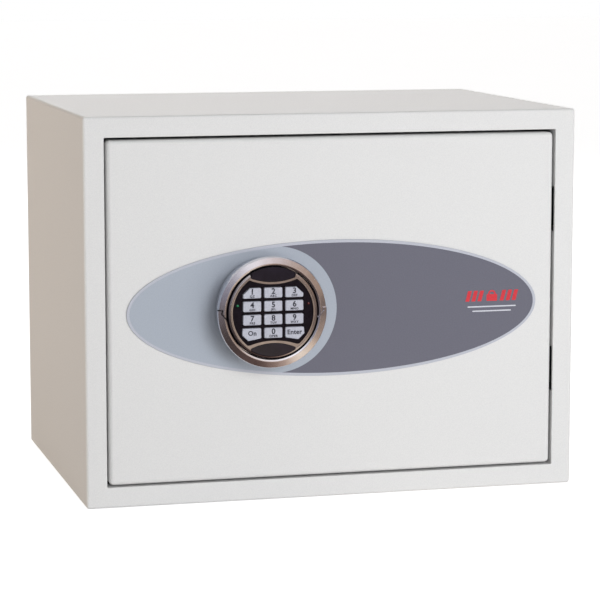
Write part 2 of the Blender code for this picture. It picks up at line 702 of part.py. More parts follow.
def spindle_bush():
    inner = SPINDLE_RADIUS + CLEAR
    back = FACE_Y - PLATE_Y
    flange = back - CLEAR
    profile = [
        (BUSH_RADIUS, back + 0.0022), (BUSH_RADIUS, flange), (0.0095, flange), (0.0095, flange - 0.0015),
        (inner, flange - 0.0015), (inner, back + 0.0022),
    ]
    turned("spindle_bush", profile, PLUG, DIAL, steps=24)


# ---------------------------------------------------------------- keypad
def keypad_base():
    """A disc fixed to the door, with three pillars that hold the keypad's face still."""
    radius, thick = RING_WALL - 0.0006, 0.0060
    inner = SPINDLE_RADIUS + 0.0005
    profile = [(radius, thick), (radius, 0.0014), (inner, 0.0014), (inner, thick)]
    base = turned("keypad_base", profile, BLACK, DIAL, steps=40)
    for number, angle in enumerate(PILLARS):
        x, y = arc((0, 0), PILLAR_RING, angle, angle, 1)[0]
        pillar = cylinder(f"pillar_{number}", 0.0036, thick - 0.001, 0.0150,
                          parent=DIAL, group=CUTTERS, steps=16)
        pillar.location = (x, y, 0)
        join(base, pillar)
    bore = cylinder("cut_lead_bore", 0.0022, -0.01, 0.03, parent=DIAL, group=CUTTERS, steps=16)
    bore.location = (0, -LEAD_DROP, 0)
    cut(base, bore)


# Keys, in the dial's frame: X to the right, Y up.
KEY_PITCH = (0.01655, 0.01028)
KEY_SIZE = (0.0142, 0.0080)
KEY_CENTRE = (0.0, 0.0002)
KEY_LOW = 0.0196
FACE_TOP = 0.0232
KEY_NAMES = (("1", "2", "3"), ("4", "5", "6"), ("7", "8", "9"), ("on", "0", "enter"))


def key_outline(column, row):
    """A key's outline. Outer corners of the top and bottom rows are cut to follow the ring."""
    x = KEY_CENTRE[0] + (column - 1) * KEY_PITCH[0]
    y = KEY_CENTRE[1] + (1.5 - row) * KEY_PITCH[1]
    half_x, half_y = KEY_SIZE[0] / 2, KEY_SIZE[1] / 2
    side = column - 1
    if side == 0 or row in (1, 2):
        return rectangle((x - half_x, y - half_y), (x + half_x, y + half_y))
    corner_x, corner_y = 0.0054, 0.0050
    inner, outer = -half_x * side, half_x * side
    if row == 0:
        points = [(inner, -half_y), (outer, -half_y), (outer, half_y - corner_y),
                  (outer - corner_x * side, half_y), (inner, half_y)]
    else:
        drop = 0.0018
        points = [(inner, half_y), (outer + 0.0004 * side, half_y), (outer + 0.0008 * side, -0.0012),
                  (outer - 0.0040 * side, -half_y - drop), (inner, -half_y)]
    points = [(x + px, y + py) for px, py in points]
    return points if (row == 0) == (side > 0) else points[::-1]


def grown(points, distance):
    """A convex outline, given anticlockwise or clockwise, moved out by a distance."""
    count = len(points)
    area = sum(points[i][0] * points[(i + 1) % count][1] - points[(i + 1) % count][0] * points[i][1]
               for i in range(count))
    turn = 1 if area > 0 else -1
    lines = []
    for i in range(count):
        start, end = Vector(points[i]), Vector(points[(i + 1) % count])
        along = (end - start).normalized()
        out = Vector((along.y, -along.x)) * turn
        lines.append((start + out * distance, along))
    result = []
    for i in range(count):
        (start, along), (other, across_line) = lines[i - 1], lines[i]
        gap = other - start
        cross = along.x * across_line.y - along.y * across_line.x
        reach = (gap.x * across_line.y - gap.y * across_line.x) / cross
        corner = start + along * reach
        result.append((corner.x, corner.y))
    return result


# The arcs that bound the window above the keys and the contact cover below them.
SIDE_RADIUS = 0.0346
BAND = 0.0016            # width of the bright band beside the window and the cover
SIDE_BAND = 0.0029       # and at the keypad's sides


def arc_through(half_width, end_y, middle_y, count=14):
    """A shallow arc from +half_width to -half_width, at end_y at its ends and middle_y between."""
    sag = middle_y - end_y
    radius = (half_width ** 2 + sag ** 2) / (2 * abs(sag))
    centre_y = middle_y - math.copysign(radius, sag)
    reach = math.degrees(math.asin(half_width / radius))
    middle = math.copysign(90, sag)
    start = middle - reach if sag > 0 else middle + reach
    end = middle + reach if sag > 0 else middle - reach
    return arc((0, centre_y), radius, start, end, count)


WINDOW_HALF = 0.0172
WINDOW_END = 0.0270
WINDOW_MIDDLE = 0.0240
TAB_HALF = 0.0172
TAB_END = -0.0270
TAB_MIDDLE = -0.0234


def angle_of(x, y):
    return math.degrees(math.atan2(y, x))


def window_outline():
    """Circle above, shallow sagging arc below."""
    lower = arc_through(WINDOW_HALF, WINDOW_END, WINDOW_MIDDLE)
    top_x = WINDOW_HALF - 0.0004
    corner = angle_of(top_x, math.sqrt(FACE_RADIUS ** 2 - top_x ** 2))
    return lower[::-1] + arc((0, 0), FACE_RADIUS - 0.0004, corner, 180 - corner, 20)


def tab_outline(extra=0.0):
    """Shallow bulging arc above, circle below; extra moves the whole outline out."""
    upper = arc_through(TAB_HALF + extra, TAB_END + extra * 0.5, TAB_MIDDLE + extra)
    radius = SIDE_RADIUS - 0.0012 + extra
    corner = angle_of(TAB_HALF + extra, -math.sqrt(radius ** 2 - (TAB_HALF + extra) ** 2))
    return upper + arc((0, 0), radius, -180 - corner, corner, 20)


def keypad_trim():
    """A bright band round the keys, which also frames the contact cover."""
    lower = arc_through(WINDOW_HALF, WINDOW_END - CLEAR, WINDOW_MIDDLE - CLEAR)
    corner = angle_of(WINDOW_HALF + 0.0008, math.sqrt(SIDE_RADIUS ** 2 - (WINDOW_HALF + 0.0008) ** 2))
    outside = lower[::-1] + arc((0, 0), SIDE_RADIUS, corner, 180 - corner - 360, 48)
    top = arc_through(WINDOW_HALF - 0.001, WINDOW_END - CLEAR - BAND - 0.0004, WINDOW_MIDDLE - CLEAR - BAND)
    bottom = arc_through(TAB_HALF + 0.0010, TAB_END + 0.0026, TAB_MIDDLE + 0.0021)
    inner = SIDE_RADIUS - SIDE_BAND
    high = angle_of(*top[0])
    low = angle_of(*bottom[0])
    hole = (top + arc((0, 0), inner, 180 - high, 180 - low, 16)[1:-1]
            + bottom[::-1] + arc((0, 0), inner, low, high, 16)[1:-1])
    plate("keypad_trim", [outside, hole, tab_outline(CLEAR)], FACE_TOP + CLEAR, FACE_TOP + 0.0011,
          CHROME, DIAL)


def keypad_face():
    """The black front of the keypad: a disc with a skirt and a hole for each key."""
    skirt = 0.0020
    profile = [
        (0.0, FACE_TOP), (FACE_RADIUS - 0.0005, FACE_TOP), (FACE_RADIUS, FACE_TOP - 0.0005),
        (FACE_RADIUS, 0.0153), (FACE_RADIUS - skirt, 0.0153), (FACE_RADIUS - skirt, 0.0208), (0.0, 0.0208),
    ]
    face = turned("keypad_face", profile, BLACK, DIAL, steps=48)
    for row in range(4):
        for column in range(3):
            hole = plate(f"cut_key_{row}_{column}", [grown(key_outline(column, row), 0.0004)],
                         0.019, 0.030, parent=DIAL, group=CUTTERS)
            cut(face, hole)


def keypad_front_parts():
    plate("keypad_window", [window_outline()], FACE_TOP + CLEAR, FACE_TOP + 0.0009, GLOSS, DIAL)
    for name, x, look in (("green", -0.0276, GREEN), ("red", 0.0280, RED)):
        led = cylinder(f"led_{name}", 0.0010, FACE_TOP + CLEAR, FACE_TOP + 0.0008, look, DIAL,
                       steps=16, chamfer=0.0002)
        led.location = (x, 0.0063, 0)
    for name, x in (("left", -0.0052), ("right", 0.0052)):
        stud = cylinder(f"contact_{name}", 0.0016, FACE_TOP + CLEAR, FACE_TOP + 0.0008, CHROME, DIAL,
                        steps=16, chamfer=0.0002)
        stud.location = (x, -0.0285, 0)
    cylinder("key_mat", 0.0326, 0.0173, 0.0183, SILICONE, DIAL, steps=48)
    cylinder("keypad_board", 0.0328, 0.0155 + CLEAR, 0.0170, BOARD, DIAL, steps=48)


COVER_TOP = FACE_TOP + 0.0016
COVER_HINGE = (0.0, -0.0330, COVER_TOP)


def contact_cover():
    """A small flap on a hinge along its lower edge, over the emergency power contacts."""
    hinge = empty("contact_cover_hinge", COVER_HINGE)
    hinge.parent = DIAL
    cover = plate("contact_cover", [tab_outline()], FACE_TOP + CLEAR, COVER_TOP, BLACK, hinge)
    cover.location = tuple(-value for value in COVER_HINGE)
    recess = box("cut_cover_recess", (-0.0110, -0.0312, FACE_TOP - 0.002),
                 (0.0110, -0.0260, FACE_TOP + 0.0010),
                 parent=DIAL, group=CUTTERS)
    cut(cover, recess)


def keys():
    for row, names in enumerate(KEY_NAMES):
        for column, name in enumerate(names):
            key = plate(f"key_{name}", [key_outline(column, row)], KEY_LOW, KEY_TOP, KEYS, DIAL)
            round_edges(key, 0.0006, 1)


# ---------------------------------------------------------------- leads
def lead(name, route, radius):
    """A round lead along a smooth curve through the route's points, in the door's frame."""
    points = [Vector(door_frame_point(*place)) for place in route]
    ends = [points[0] * 2 - points[1]] + points + [points[-1] * 2 - points[-2]]
    smooth_points = []
    steps = 4
    for i in range(1, len(ends) - 2):
        before, start, end, after = ends[i - 1:i + 3]
        for step in range(steps):
            t = step / steps
            smooth_points.append(0.5 * ((2 * start) + (end - before) * t
                                        + (2 * before - 5 * start + 4 * end - after) * t ** 2
                                        + (3 * start - before - 3 * end + after) * t ** 3))
    smooth_points.append(points[-1])
    curve = bpy.data.curves.new(name, "CURVE")
    curve.dimensions = "3D"
    curve.bevel_depth = radius
    curve.bevel_resolution = 2
    curve.use_fill_caps = True
    curve.render_resolution_u = 0
    spline = curve.splines.new("POLY")
    spline.points.add(len(smooth_points) - 1)
    for point, place in zip(spline.points, smooth_points):
        point.co = (*place, 1)
    curve.materials.append(WIRE)
    item = bpy.data.objects.new(name, curve)
    PARTS.objects.link(item)
    item.parent = DOOR


def leads():
    low = DIAL_Z - LEAD_DROP
    lead("keypad_lead", [
        (DIAL_X, FACE_Y - 0.0152, low), (DIAL_X, FACE_Y, low), (DIAL_X, PLATE_Y, low),
        (DIAL_X + 0.001, FACE_Y + 0.0185, low + 0.0003), (DIAL_X + 0.005, FACE_Y + 0.0215, low),
        (-0.0475, FACE_Y + 0.0235, 0.1205), (-0.0455, FACE_Y + 0.0245, 0.1135),
        (-0.0470, FACE_Y + 0.0252, 0.1070),
        (-0.0512, FACE_Y + 0.0255, 0.1052),
    ], LEAD_RADIUS)
    lead("battery_lead", [
        (BATTERY_LOW[0] + 0.0033, FACE_Y + 0.022, 0.128), (0.012, FACE_Y + 0.022, 0.127),
        (0.000, FACE_Y + 0.019, 0.118), (-0.020, FACE_Y + 0.0175, 0.098),
        (-0.040, FACE_Y + 0.020, 0.089), (-0.0512, FACE_Y + 0.021, 0.088),
    ], 0.0015)


# ---------------------------------------------------------------- build
outer_shell()
back_panel()
floor_mat()
anchor_plugs()
hinge_brackets()
door_skin()
door_plates()
badge_plate()
hinge_arms()
rear_cover()
cover_screws()
battery_parts()
bolt_carriage()
bolts_and_guides()
lock()
bezel_ring()
spindle_and_cam()
spindle_bush()
keypad_base()
keypad_face()
keypad_trim()
keypad_front_parts()
contact_cover()
keys()
leads()
for part in PARTS.objects:
    if part.type == "MESH":
        smooth(part)
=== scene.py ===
import math

import bmesh
import bpy
from mathutils import Matrix, Vector

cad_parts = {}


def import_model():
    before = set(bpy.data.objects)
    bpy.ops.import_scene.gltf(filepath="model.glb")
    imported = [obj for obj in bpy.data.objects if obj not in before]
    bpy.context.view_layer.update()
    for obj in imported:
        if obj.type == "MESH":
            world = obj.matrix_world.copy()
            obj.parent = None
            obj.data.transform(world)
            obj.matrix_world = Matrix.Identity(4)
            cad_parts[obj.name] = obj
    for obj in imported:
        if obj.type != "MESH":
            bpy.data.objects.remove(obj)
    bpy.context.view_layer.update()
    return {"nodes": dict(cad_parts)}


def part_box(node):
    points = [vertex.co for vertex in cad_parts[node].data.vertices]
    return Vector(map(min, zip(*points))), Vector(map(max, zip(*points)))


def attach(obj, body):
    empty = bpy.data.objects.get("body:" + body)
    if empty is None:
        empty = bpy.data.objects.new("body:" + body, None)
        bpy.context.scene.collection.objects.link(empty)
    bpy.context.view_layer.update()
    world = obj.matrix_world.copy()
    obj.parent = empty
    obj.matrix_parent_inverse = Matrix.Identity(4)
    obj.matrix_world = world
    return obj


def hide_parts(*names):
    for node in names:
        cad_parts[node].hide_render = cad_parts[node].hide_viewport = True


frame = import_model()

# ---------------------------------------------------------------- places read from the frame
SHELL_LOW, SHELL_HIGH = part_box("outer_shell")
DOOR_LOW, DOOR_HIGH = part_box("door_skin")
RING_LOW, RING_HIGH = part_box("bezel_ring")
BADGE_LOW, BADGE_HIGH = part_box("badge_plate")
FACE_Y = SHELL_LOW.y
BACK_Y = SHELL_HIGH.y
DIAL_X = (RING_LOW.x + RING_HIGH.x) / 2
DIAL_Z = (RING_LOW.z + RING_HIGH.z) / 2

# A front frame's X is the safe's X, its Y is up and its Z comes out of the front.
TURN = Matrix.Rotation(math.radians(90), 4, "X")
FRONT = Matrix.Translation((0, FACE_Y, 0)) @ TURN
DIAL = Matrix.Translation((DIAL_X, FACE_Y, DIAL_Z)) @ TURN

SHEET = 0.002
BORDER = 0.016
FOLD_DEPTH = 0.0155      # depth of the edge folded in round the opening
CLEAR = 0.0003           # gap between pieces that touch on the real safe
HAIR = 0.0001            # tolerance of a test that picks edges by their place
PAST = 0.01              # how far a cutter goes past what it cuts


# ---------------------------------------------------------------- materials
def linear(red, green, blue):
    """A colour as a screen shows it, 0 to 255, as the shader wants it."""
    values = []
    for value in (red, green, blue):
        value /= 255
        values.append(value / 12.92 if value <= 0.04045 else ((value + 0.055) / 1.055) ** 2.4)
    return (*values, 1.0)


class Look:
    """A material's node tree, with the links that each finish needs."""

    def __init__(self, name, roughness=0.5, metallic=0.0):
        self.material = bpy.data.materials.new(name)
        self.material.use_nodes = True
        self.tree = self.material.node_tree
        self.shader = self.tree.nodes["Principled BSDF"]
        self.shader.inputs["Roughness"].default_value = roughness
        self.shader.inputs["Metallic"].default_value = metallic
        self.place = self.node("ShaderNodeTexCoord").outputs["Object"]
        self.normal = None

    def node(self, kind, **inputs):
        made = self.tree.nodes.new(kind)
        for name, value in inputs.items():
            made.inputs[name.replace("_", " ")].default_value = value
        return made

    def link(self, source, target):
        self.tree.links.new(source, target)

    def stretched(self, scale):
        """The place, squeezed along each axis, for grain that runs one way."""
        mapping = self.node("ShaderNodeMapping", Scale=scale)
        self.link(self.place, mapping.inputs["Vector"])
        return mapping.outputs["Vector"]

    def noise(self, size, detail=2.0, rough=0.5, place=None):
        """Noise whose features are about size metres across."""
        made = self.node("ShaderNodeTexNoise", Scale=1 / size, Detail=detail, Roughness=rough)
        self.link(place or self.place, made.inputs["Vector"])
        return made.outputs["Fac"]

    def spread(self, source, low, high, start=0.3, end=0.7):
        """A noise value stretched to run from low to high."""
        made = self.node("ShaderNodeMapRange", From_Min=start, From_Max=end, To_Min=low, To_Max=high)
        self.link(source, made.inputs["Value"])
        return made.outputs["Result"]

    def colours(self, source, first, second, start=0.3, end=0.7):
        """Base colour that moves between two colours with a noise value."""
        ramp = self.node("ShaderNodeValToRGB")
        ramp.color_ramp.elements[0].position = start
        ramp.color_ramp.elements[0].color = first
        ramp.color_ramp.elements[1].position = end
        ramp.color_ramp.elements[1].color = second
        self.link(source, ramp.inputs["Fac"])
        self.link(ramp.outputs["Color"], self.shader.inputs["Base Color"])

    def rough(self, source, low, high):
        self.link(self.spread(source, low, high), self.shader.inputs["Roughness"])

    def bump(self, source, depth, strength=1.0):
        """Adds relief of a depth in metres to what is there already."""
        made = self.node("ShaderNodeBump", Strength=strength, Distance=depth)
        self.link(source, made.inputs["Height"])
        if self.normal:
            self.link(self.normal, made.inputs["Normal"])
        self.normal = made.outputs["Normal"]
        self.link(self.normal, self.shader.inputs["Normal"])

    def gloss(self, coat=0.0, coat_roughness=0.1, specular=0.5, sheen=0.0):
        self.shader.inputs["Coat Weight"].default_value = coat
        self.shader.inputs["Coat Roughness"].default_value = coat_roughness
        self.shader.inputs["Specular IOR Level"].default_value = specular
        self.shader.inputs["Sheen Weight"].default_value = sheen


def powder_coat():
    look = Look("powder_coat", 0.48)
    look.colours(look.noise(0.0007, 3), linear(221, 221, 221), linear(231, 231, 230), 0.25, 0.75)
    look.rough(look.noise(0.002, 2), 0.40, 0.55)
    look.bump(look.noise(0.0016, 2), 0.00006, 0.5)
    look.bump(look.noise(0.0005, 2), 0.00002, 0.6)
    return look.material


def zinc_steel():
    look = Look("zinc_steel", 0.35, 1.0)
    look.colours(look.noise(0.018, 4), linear(168, 172, 176), linear(200, 201, 198))
    look.rough(look.noise(0.006, 4), 0.26, 0.44)
    look.bump(look.noise(0.0012, 2, place=look.stretched((0.05, 1, 1))), 0.00002, 0.4)
    return look.material


def hard_steel():
    look = Look("hard_steel", 0.38, 1.0)
    look.colours(look.noise(0.010, 4), linear(92, 93, 96), linear(126, 126, 128))
    look.rough(look.noise(0.004, 3), 0.28, 0.48)
    look.bump(look.noise(0.0008, 3), 0.00002, 0.5)
    return look.material


def round_the_dial(look):
    """Distance from the dial's axis, for lines left by turning the metal."""
    offset = look.node("ShaderNodeVectorMath")
    offset.operation = "SUBTRACT"
    offset.inputs[1].default_value = (DIAL_X, 0, DIAL_Z)
    look.link(look.place, offset.inputs[0])
    flat = look.node("ShaderNodeVectorMath")
    flat.operation = "MULTIPLY"
    flat.inputs[1].default_value = (1, 0, 1)
    look.link(offset.outputs[0], flat.inputs[0])
    length = look.node("ShaderNodeVectorMath")
    length.operation = "LENGTH"
    look.link(flat.outputs[0], length.inputs[0])
    return length.outputs["Value"]


def satin_nickel(name="satin_nickel", turned_lines=True, colour=(200, 200, 207), paler=(216, 216, 223)):
    look = Look(name, 0.2, 1.0)
    look.colours(look.noise(0.012, 3), linear(*colour), linear(*paler))
    look.rough(look.noise(0.003, 3), 0.16, 0.24)
    if turned_lines:
        place = look.node("ShaderNodeCombineXYZ")
        look.link(round_the_dial(look), place.inputs["X"])
        look.bump(look.noise(0.00035, 2, place=place.outputs["Vector"]), 0.000008, 0.35)
    else:
        look.bump(look.noise(0.0004, 2), 0.000006, 0.3)
    return look.material


def print_layer(name, colour, paler):
    """Satin print on the badge: fine mottle, slight gloss."""
    look = Look(name, 0.42)
    look.colours(look.noise(0.0009, 3), linear(*colour), linear(*paler))
    look.rough(look.noise(0.005, 3), 0.36, 0.50)
    look.bump(look.noise(0.0006, 2), 0.00001, 0.4)
    look.gloss(specular=0.45)
    return look.material


def black_moulding():
    look = Look("black_moulding", 0.34)
    look.gloss(specular=0.14)
    look.colours(look.noise(0.004, 3), linear(12, 8, 16), linear(20, 14, 24))
    look.rough(look.noise(0.0015, 3), 0.26, 0.40)
    look.bump(look.noise(0.0004, 2), 0.00001, 0.5)
    return look.material


def black_window():
    look = Look("black_window", 0.06)
    look.colours(look.noise(0.01, 2), linear(22, 20, 31), linear(30, 26, 39))
    look.rough(look.noise(0.004, 2), 0.05, 0.10)
    look.gloss(specular=0.35)
    return look.material


def key_caps():
    look = Look("key_caps", 0.36)
    look.colours(look.noise(0.0014, 3), linear(178, 180, 192), linear(192, 194, 206))
    look.rough(look.noise(0.002, 3), 0.30, 0.42)
    look.bump(look.noise(0.0004, 2), 0.000008, 0.5)
    look.gloss(coat=0.15, coat_roughness=0.25)
    return look.material


def key_ink():
    look = Look("key_ink", 0.5)
    look.colours(look.noise(0.0006, 2), linear(24, 26, 40), linear(38, 40, 56))
    look.rough(look.noise(0.001, 2), 0.42, 0.58)
    return look.material


def rubber(name, dark, pale, roughness):
    look = Look(name, roughness)
    look.colours(look.noise(0.003, 3), linear(*dark), linear(*pale))
    look.rough(look.noise(0.001, 3), roughness - 0.08, roughness + 0.08)
    look.bump(look.noise(0.0005, 3), 0.00003, 0.4)
    return look.material


def circuit_board():
    look = Look("circuit_board", 0.45)
    look.colours(look.noise(0.002, 5), linear(22, 84, 48), linear(34, 104, 62))
    look.bump(look.noise(0.0008, 3), 0.00004, 0.6)
    return look.material


def lamp(name, dark, bright):
    look = Look(name, 0.18)
    look.colours(look.noise(0.0008, 2), linear(*dark), linear(*bright))
    look.rough(look.noise(0.001, 2), 0.14, 0.22)
    look.gloss(coat=0.8, coat_roughness=0.05)
    return look.material


def floor_felt():
    look = Look("floor_felt", 0.95)
    fibres = look.noise(0.0011, 6, 0.7)
    look.colours(fibres, linear(44, 45, 49), linear(74, 75, 80), 0.35, 0.65)
    look.bump(fibres, 0.0006, 0.7)
    look.bump(look.noise(0.006, 3), 0.0004, 0.3)
    look.gloss(specular=0.2, sheen=0.35)
    return look.material


def grey_plastic():
    look = Look("grey_plastic", 0.5)
    look.colours(look.noise(0.004, 3), linear(116, 117, 120), linear(128, 129, 131))
    look.rough(look.noise(0.0012, 3), 0.42, 0.58)
    look.bump(look.noise(0.0004, 3), 0.00003, 0.4)
    return look.material


def lock_casting():
    look = Look("lock_casting", 0.5, 0.85)
    look.colours(look.noise(0.006, 4), linear(150, 150, 152), linear(172, 172, 173))
    look.rough(look.noise(0.002, 4), 0.42, 0.60)
    look.bump(look.noise(0.0009, 3), 0.00008, 0.5)
    return look.material


COAT = powder_coat()
ZINC = zinc_steel()
HARD = hard_steel()
NICKEL = satin_nickel()
TRIM = satin_nickel("trim_nickel", turned_lines=False, colour=(164, 161, 164), paler=(184, 181, 184))
BADGE_EDGE = print_layer("badge_border", (186, 189, 200), (194, 197, 207))
BADGE_LIGHT = print_layer("badge_light", (168, 176, 188), (176, 184, 195))
BADGE_DARK = print_layer("badge_dark", (103, 104, 117), (110, 111, 124))
MARK_RED = print_layer("mark_red", (206, 52, 62), (216, 62, 72))
MARK_PALE = print_layer("mark_pale", (206, 208, 216), (216, 218, 226))
BLACK = black_moulding()
GLOSS = black_window()
CAPS = key_caps()
INK = key_ink()
SILICONE = rubber("silicone_mat", (36, 36, 40), (48, 48, 52), 0.7)
BOARD = circuit_board()
GREEN = lamp("green_lamp", (8, 92, 58), (16, 128, 80))
RED = lamp("red_lamp", (66, 20, 24), (92, 28, 32))
FELT = floor_felt()
PLASTIC = grey_plastic()
CASTING = lock_casting()
SHEATH = rubber("lead_sheath", (22, 22, 24), (34, 34, 36), 0.5)


# ---------------------------------------------------------------- mesh tools
def new_object(name, solid, place=None):
    """An object from a bmesh, with its place put into the mesh."""
    mesh = bpy.data.meshes.new(name)
    if place is not None:
        bmesh.ops.transform(solid, matrix=place, verts=solid.verts)
    bmesh.ops.recalc_face_normals(solid, faces=solid.faces)
    solid.to_mesh(mesh)
    solid.free()
    item = bpy.data.objects.new(name, mesh)
    bpy.context.scene.collection.objects.link(item)
    return item


def box_mesh(low, high):
    solid = bmesh.new()
    bmesh.ops.create_cube(solid, size=1.0)
    size = Vector(high) - Vector(low)
    middle = (Vector(high) + Vector(low)) / 2
    place = Matrix.Translation(middle) @ Matrix.Diagonal((*size, 1))
    bmesh.ops.transform(solid, matrix=place, verts=solid.verts)
    return solid


def block(name, low, high, place=None):
    return new_object(name, box_mesh(low, high), place)


def settled_mesh(item):
    """An object's mesh with its modifiers, or its curve made solid."""
    bpy.context.view_layer.update()
    return bpy.data.meshes.new_from_object(item.evaluated_get(bpy.context.evaluated_depsgraph_get()))


def solid_from_curve(name, curve, merge):
    """A bmesh of a curve's solid, with points closer than merge made one."""
    helper = bpy.data.objects.new(name, curve)
    bpy.context.scene.collection.objects.link(helper)
    mesh = settled_mesh(helper)
    bpy.data.objects.remove(helper, do_unlink=True)
    solid = bmesh.new()
    solid.from_mesh(mesh)
    bpy.data.meshes.remove(mesh)
    bmesh.ops.remove_doubles(solid, verts=solid.verts, dist=merge)
    return solid


def dissolve_flat(solid):
    """Makes one face of faces that lie in one plane."""
    bmesh.ops.dissolve_limit(solid, angle_limit=math.radians(0.5), verts=solid.verts, edges=solid.edges)


def flat(name, outlines, low, high, place=FRONT):
    """A flat outline with its holes, as thick as low to high along the frame's Z."""
    curve = bpy.data.curves.new(name, "CURVE")
    curve.dimensions = "2D"
    curve.fill_mode = "BOTH"
    curve.extrude = (high - low) / 2
    for points in outlines:
        spline = curve.splines.new("POLY")
        spline.points.add(len(points) - 1)
        for point, (x, y) in zip(spline.points, points):
            point.co = (x, y, 0, 1)
        spline.use_cyclic_u = True
    solid = solid_from_curve(name, curve, 1e-6)
    dissolve_flat(solid)
    bmesh.ops.translate(solid, vec=(0, 0, (low + high) / 2), verts=solid.verts)
    return new_object(name, solid, place)


def turned(name, profile, place=DIAL, steps=96):
    """A closed profile of (radius, height) turned about the frame's Z."""
    solid = bmesh.new()
    rings = []
    for radius, height in profile:
        count = steps if radius else 1
        angles = [math.tau * i / count for i in range(count)]
        ring = [solid.verts.new((radius * math.cos(a), radius * math.sin(a), height)) for a in angles]
        rings.append(ring * (steps // count))
    open_ended = profile[0][0] == 0 and profile[-1][0] == 0
    for lower, upper in zip(rings, rings[1:] + ([] if open_ended else rings[:1])):
        for i in range(steps):
            j = (i + 1) % steps
            corners = list(dict.fromkeys([lower[i], lower[j], upper[j], upper[i]]))
            if len(corners) > 2:
                solid.faces.new(corners)
    return new_object(name, solid, place)


def rod_profile(radius, reach):
    """A profile to turn into a rod that reaches as far each way from the frame's middle."""
    return [(0, reach), (radius, reach), (radius, -reach), (0, -reach)]


def arc(centre, radius, start, end, count):
    """Points on an arc, angles in degrees anticlockwise from +X."""
    angles = [math.radians(start + (end - start) * i / count) for i in range(count + 1)]
    return [(centre[0] + radius * math.cos(a), centre[1] + radius * math.sin(a)) for a in angles]


def rounded(corners, count=5):
    """A closed outline from (x, y, radius) corners, with an arc at each corner that has a radius."""
    points = []
    for i, (x, y, radius) in enumerate(corners):
        corner = Vector((x, y))
        if radius == 0:
            points.append((x, y))
            continue
        before = (Vector(corners[i - 1][:2]) - corner).normalized()
        after = (Vector(corners[(i + 1) % len(corners)][:2]) - corner).normalized()
        half = before.angle(after) / 2
        centre = corner + (before + after).normalized() * radius / math.sin(half)
        start = corner + before * radius / math.tan(half) - centre
        sweep = start.angle_signed(corner + after * radius / math.tan(half) - centre)
        for step in range(count + 1):
            spot = centre + Matrix.Rotation(-sweep * step / count, 2) @ start
            points.append((spot.x, spot.y))
    return points


def with_radius(points, radius):
    return [(x, y, radius) for x, y in points]


def rectangle(low, high, radius=0.0, count=5):
    corners = [(low[0], low[1]), (high[0], low[1]), (high[0], high[1]), (low[0], high[1])]
    return rounded(with_radius(corners, radius), count)


def settle(item):
    """Puts an object's modifiers into its mesh."""
    mesh = settled_mesh(item)
    item.modifiers.clear()
    item.data = mesh


def carve(item, cutter, operation="DIFFERENCE"):
    """Cuts a shape out of an item, or joins it on, and removes the shape."""
    change = item.modifiers.new("carve", "BOOLEAN")
    change.operation = operation
    change.solver = "EXACT"
    change.object = cutter
    settle(item)
    bpy.data.objects.remove(cutter, do_unlink=True)


def soften(item, width, segments=3, angle=30, where=None):
    """Rounds an item's sharp edges, or those whose middle passes a test."""
    solid = bmesh.new()
    solid.from_mesh(item.data)
    bmesh.ops.remove_doubles(solid, verts=solid.verts, dist=1e-6)
    dissolve_flat(solid)
    chosen = []
    for edge in solid.edges:
        if len(edge.link_faces) == 2 and edge.calc_face_angle(0) > math.radians(angle):
            if where is None or where((edge.verts[0].co + edge.verts[1].co) / 2):
                chosen.append(edge)
    bmesh.ops.bevel(solid, geom=chosen, offset=width, segments=segments, profile=0.5, affect="EDGES",
                    clamp_overlap=True)
    bmesh.ops.remove_doubles(solid, verts=solid.verts, dist=1e-7)
    solid.to_mesh(item.data)
    solid.free()


def shade(item, angle=40):
    item.data.shade_smooth()
    item.data.set_sharp_from_angle(angle=math.radians(angle))
    even = item.modifiers.new("even shading", "WEIGHTED_NORMAL")
    even.keep_sharp = True
    even.weight = 80


def piece(item, body, look, slot, *nodes):
    """Finishes an item as a piece of the safe, which rides on a body and may stand for CAD nodes."""
    item.data.materials.clear()
    item.data.materials.append(look)
    shade(item)
    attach(item, body)
    if nodes:
        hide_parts(*nodes)
    return item


def refined(name, node, body, look, slot, width=0.0003, segments=2):
    """A CAD node's own shape with its sharp edges rounded."""
    solid = bmesh.new()
    solid.from_mesh(frame["nodes"][node].data)
    bmesh.ops.remove_doubles(solid, verts=solid.verts, dist=1e-6)
    item = new_object(name, solid)
    soften(item, width, segments)
    return piece(item, body, look, slot, node)


# ---------------------------------------------------------------- body of the safe
OPEN_X = SHELL_HIGH.x - BORDER
OPEN_LOW = SHELL_LOW.z + BORDER
OPEN_HIGH = SHELL_HIGH.z - BORDER
HINGES = {name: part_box(f"hinge_arm_{name}") for name in ("lower", "upper")}
SLOT_MARGIN = 0.003      # the slot in the folded edge is this much taller than the arm, each way
ANCHOR_RADIUS = 0.0055
SHELL_FOLD = 0.0022      # radius of the body's folds
LIP_EDGE = 0.0007        # radius of the opening's front edge


def on_lip(middle):
    """Whether an edge's middle is on the front edge of the opening."""
    return (middle.y < FACE_Y + HAIR and abs(middle.x) < OPEN_X + HAIR
            and OPEN_LOW - HAIR < middle.z < OPEN_HIGH + HAIR)


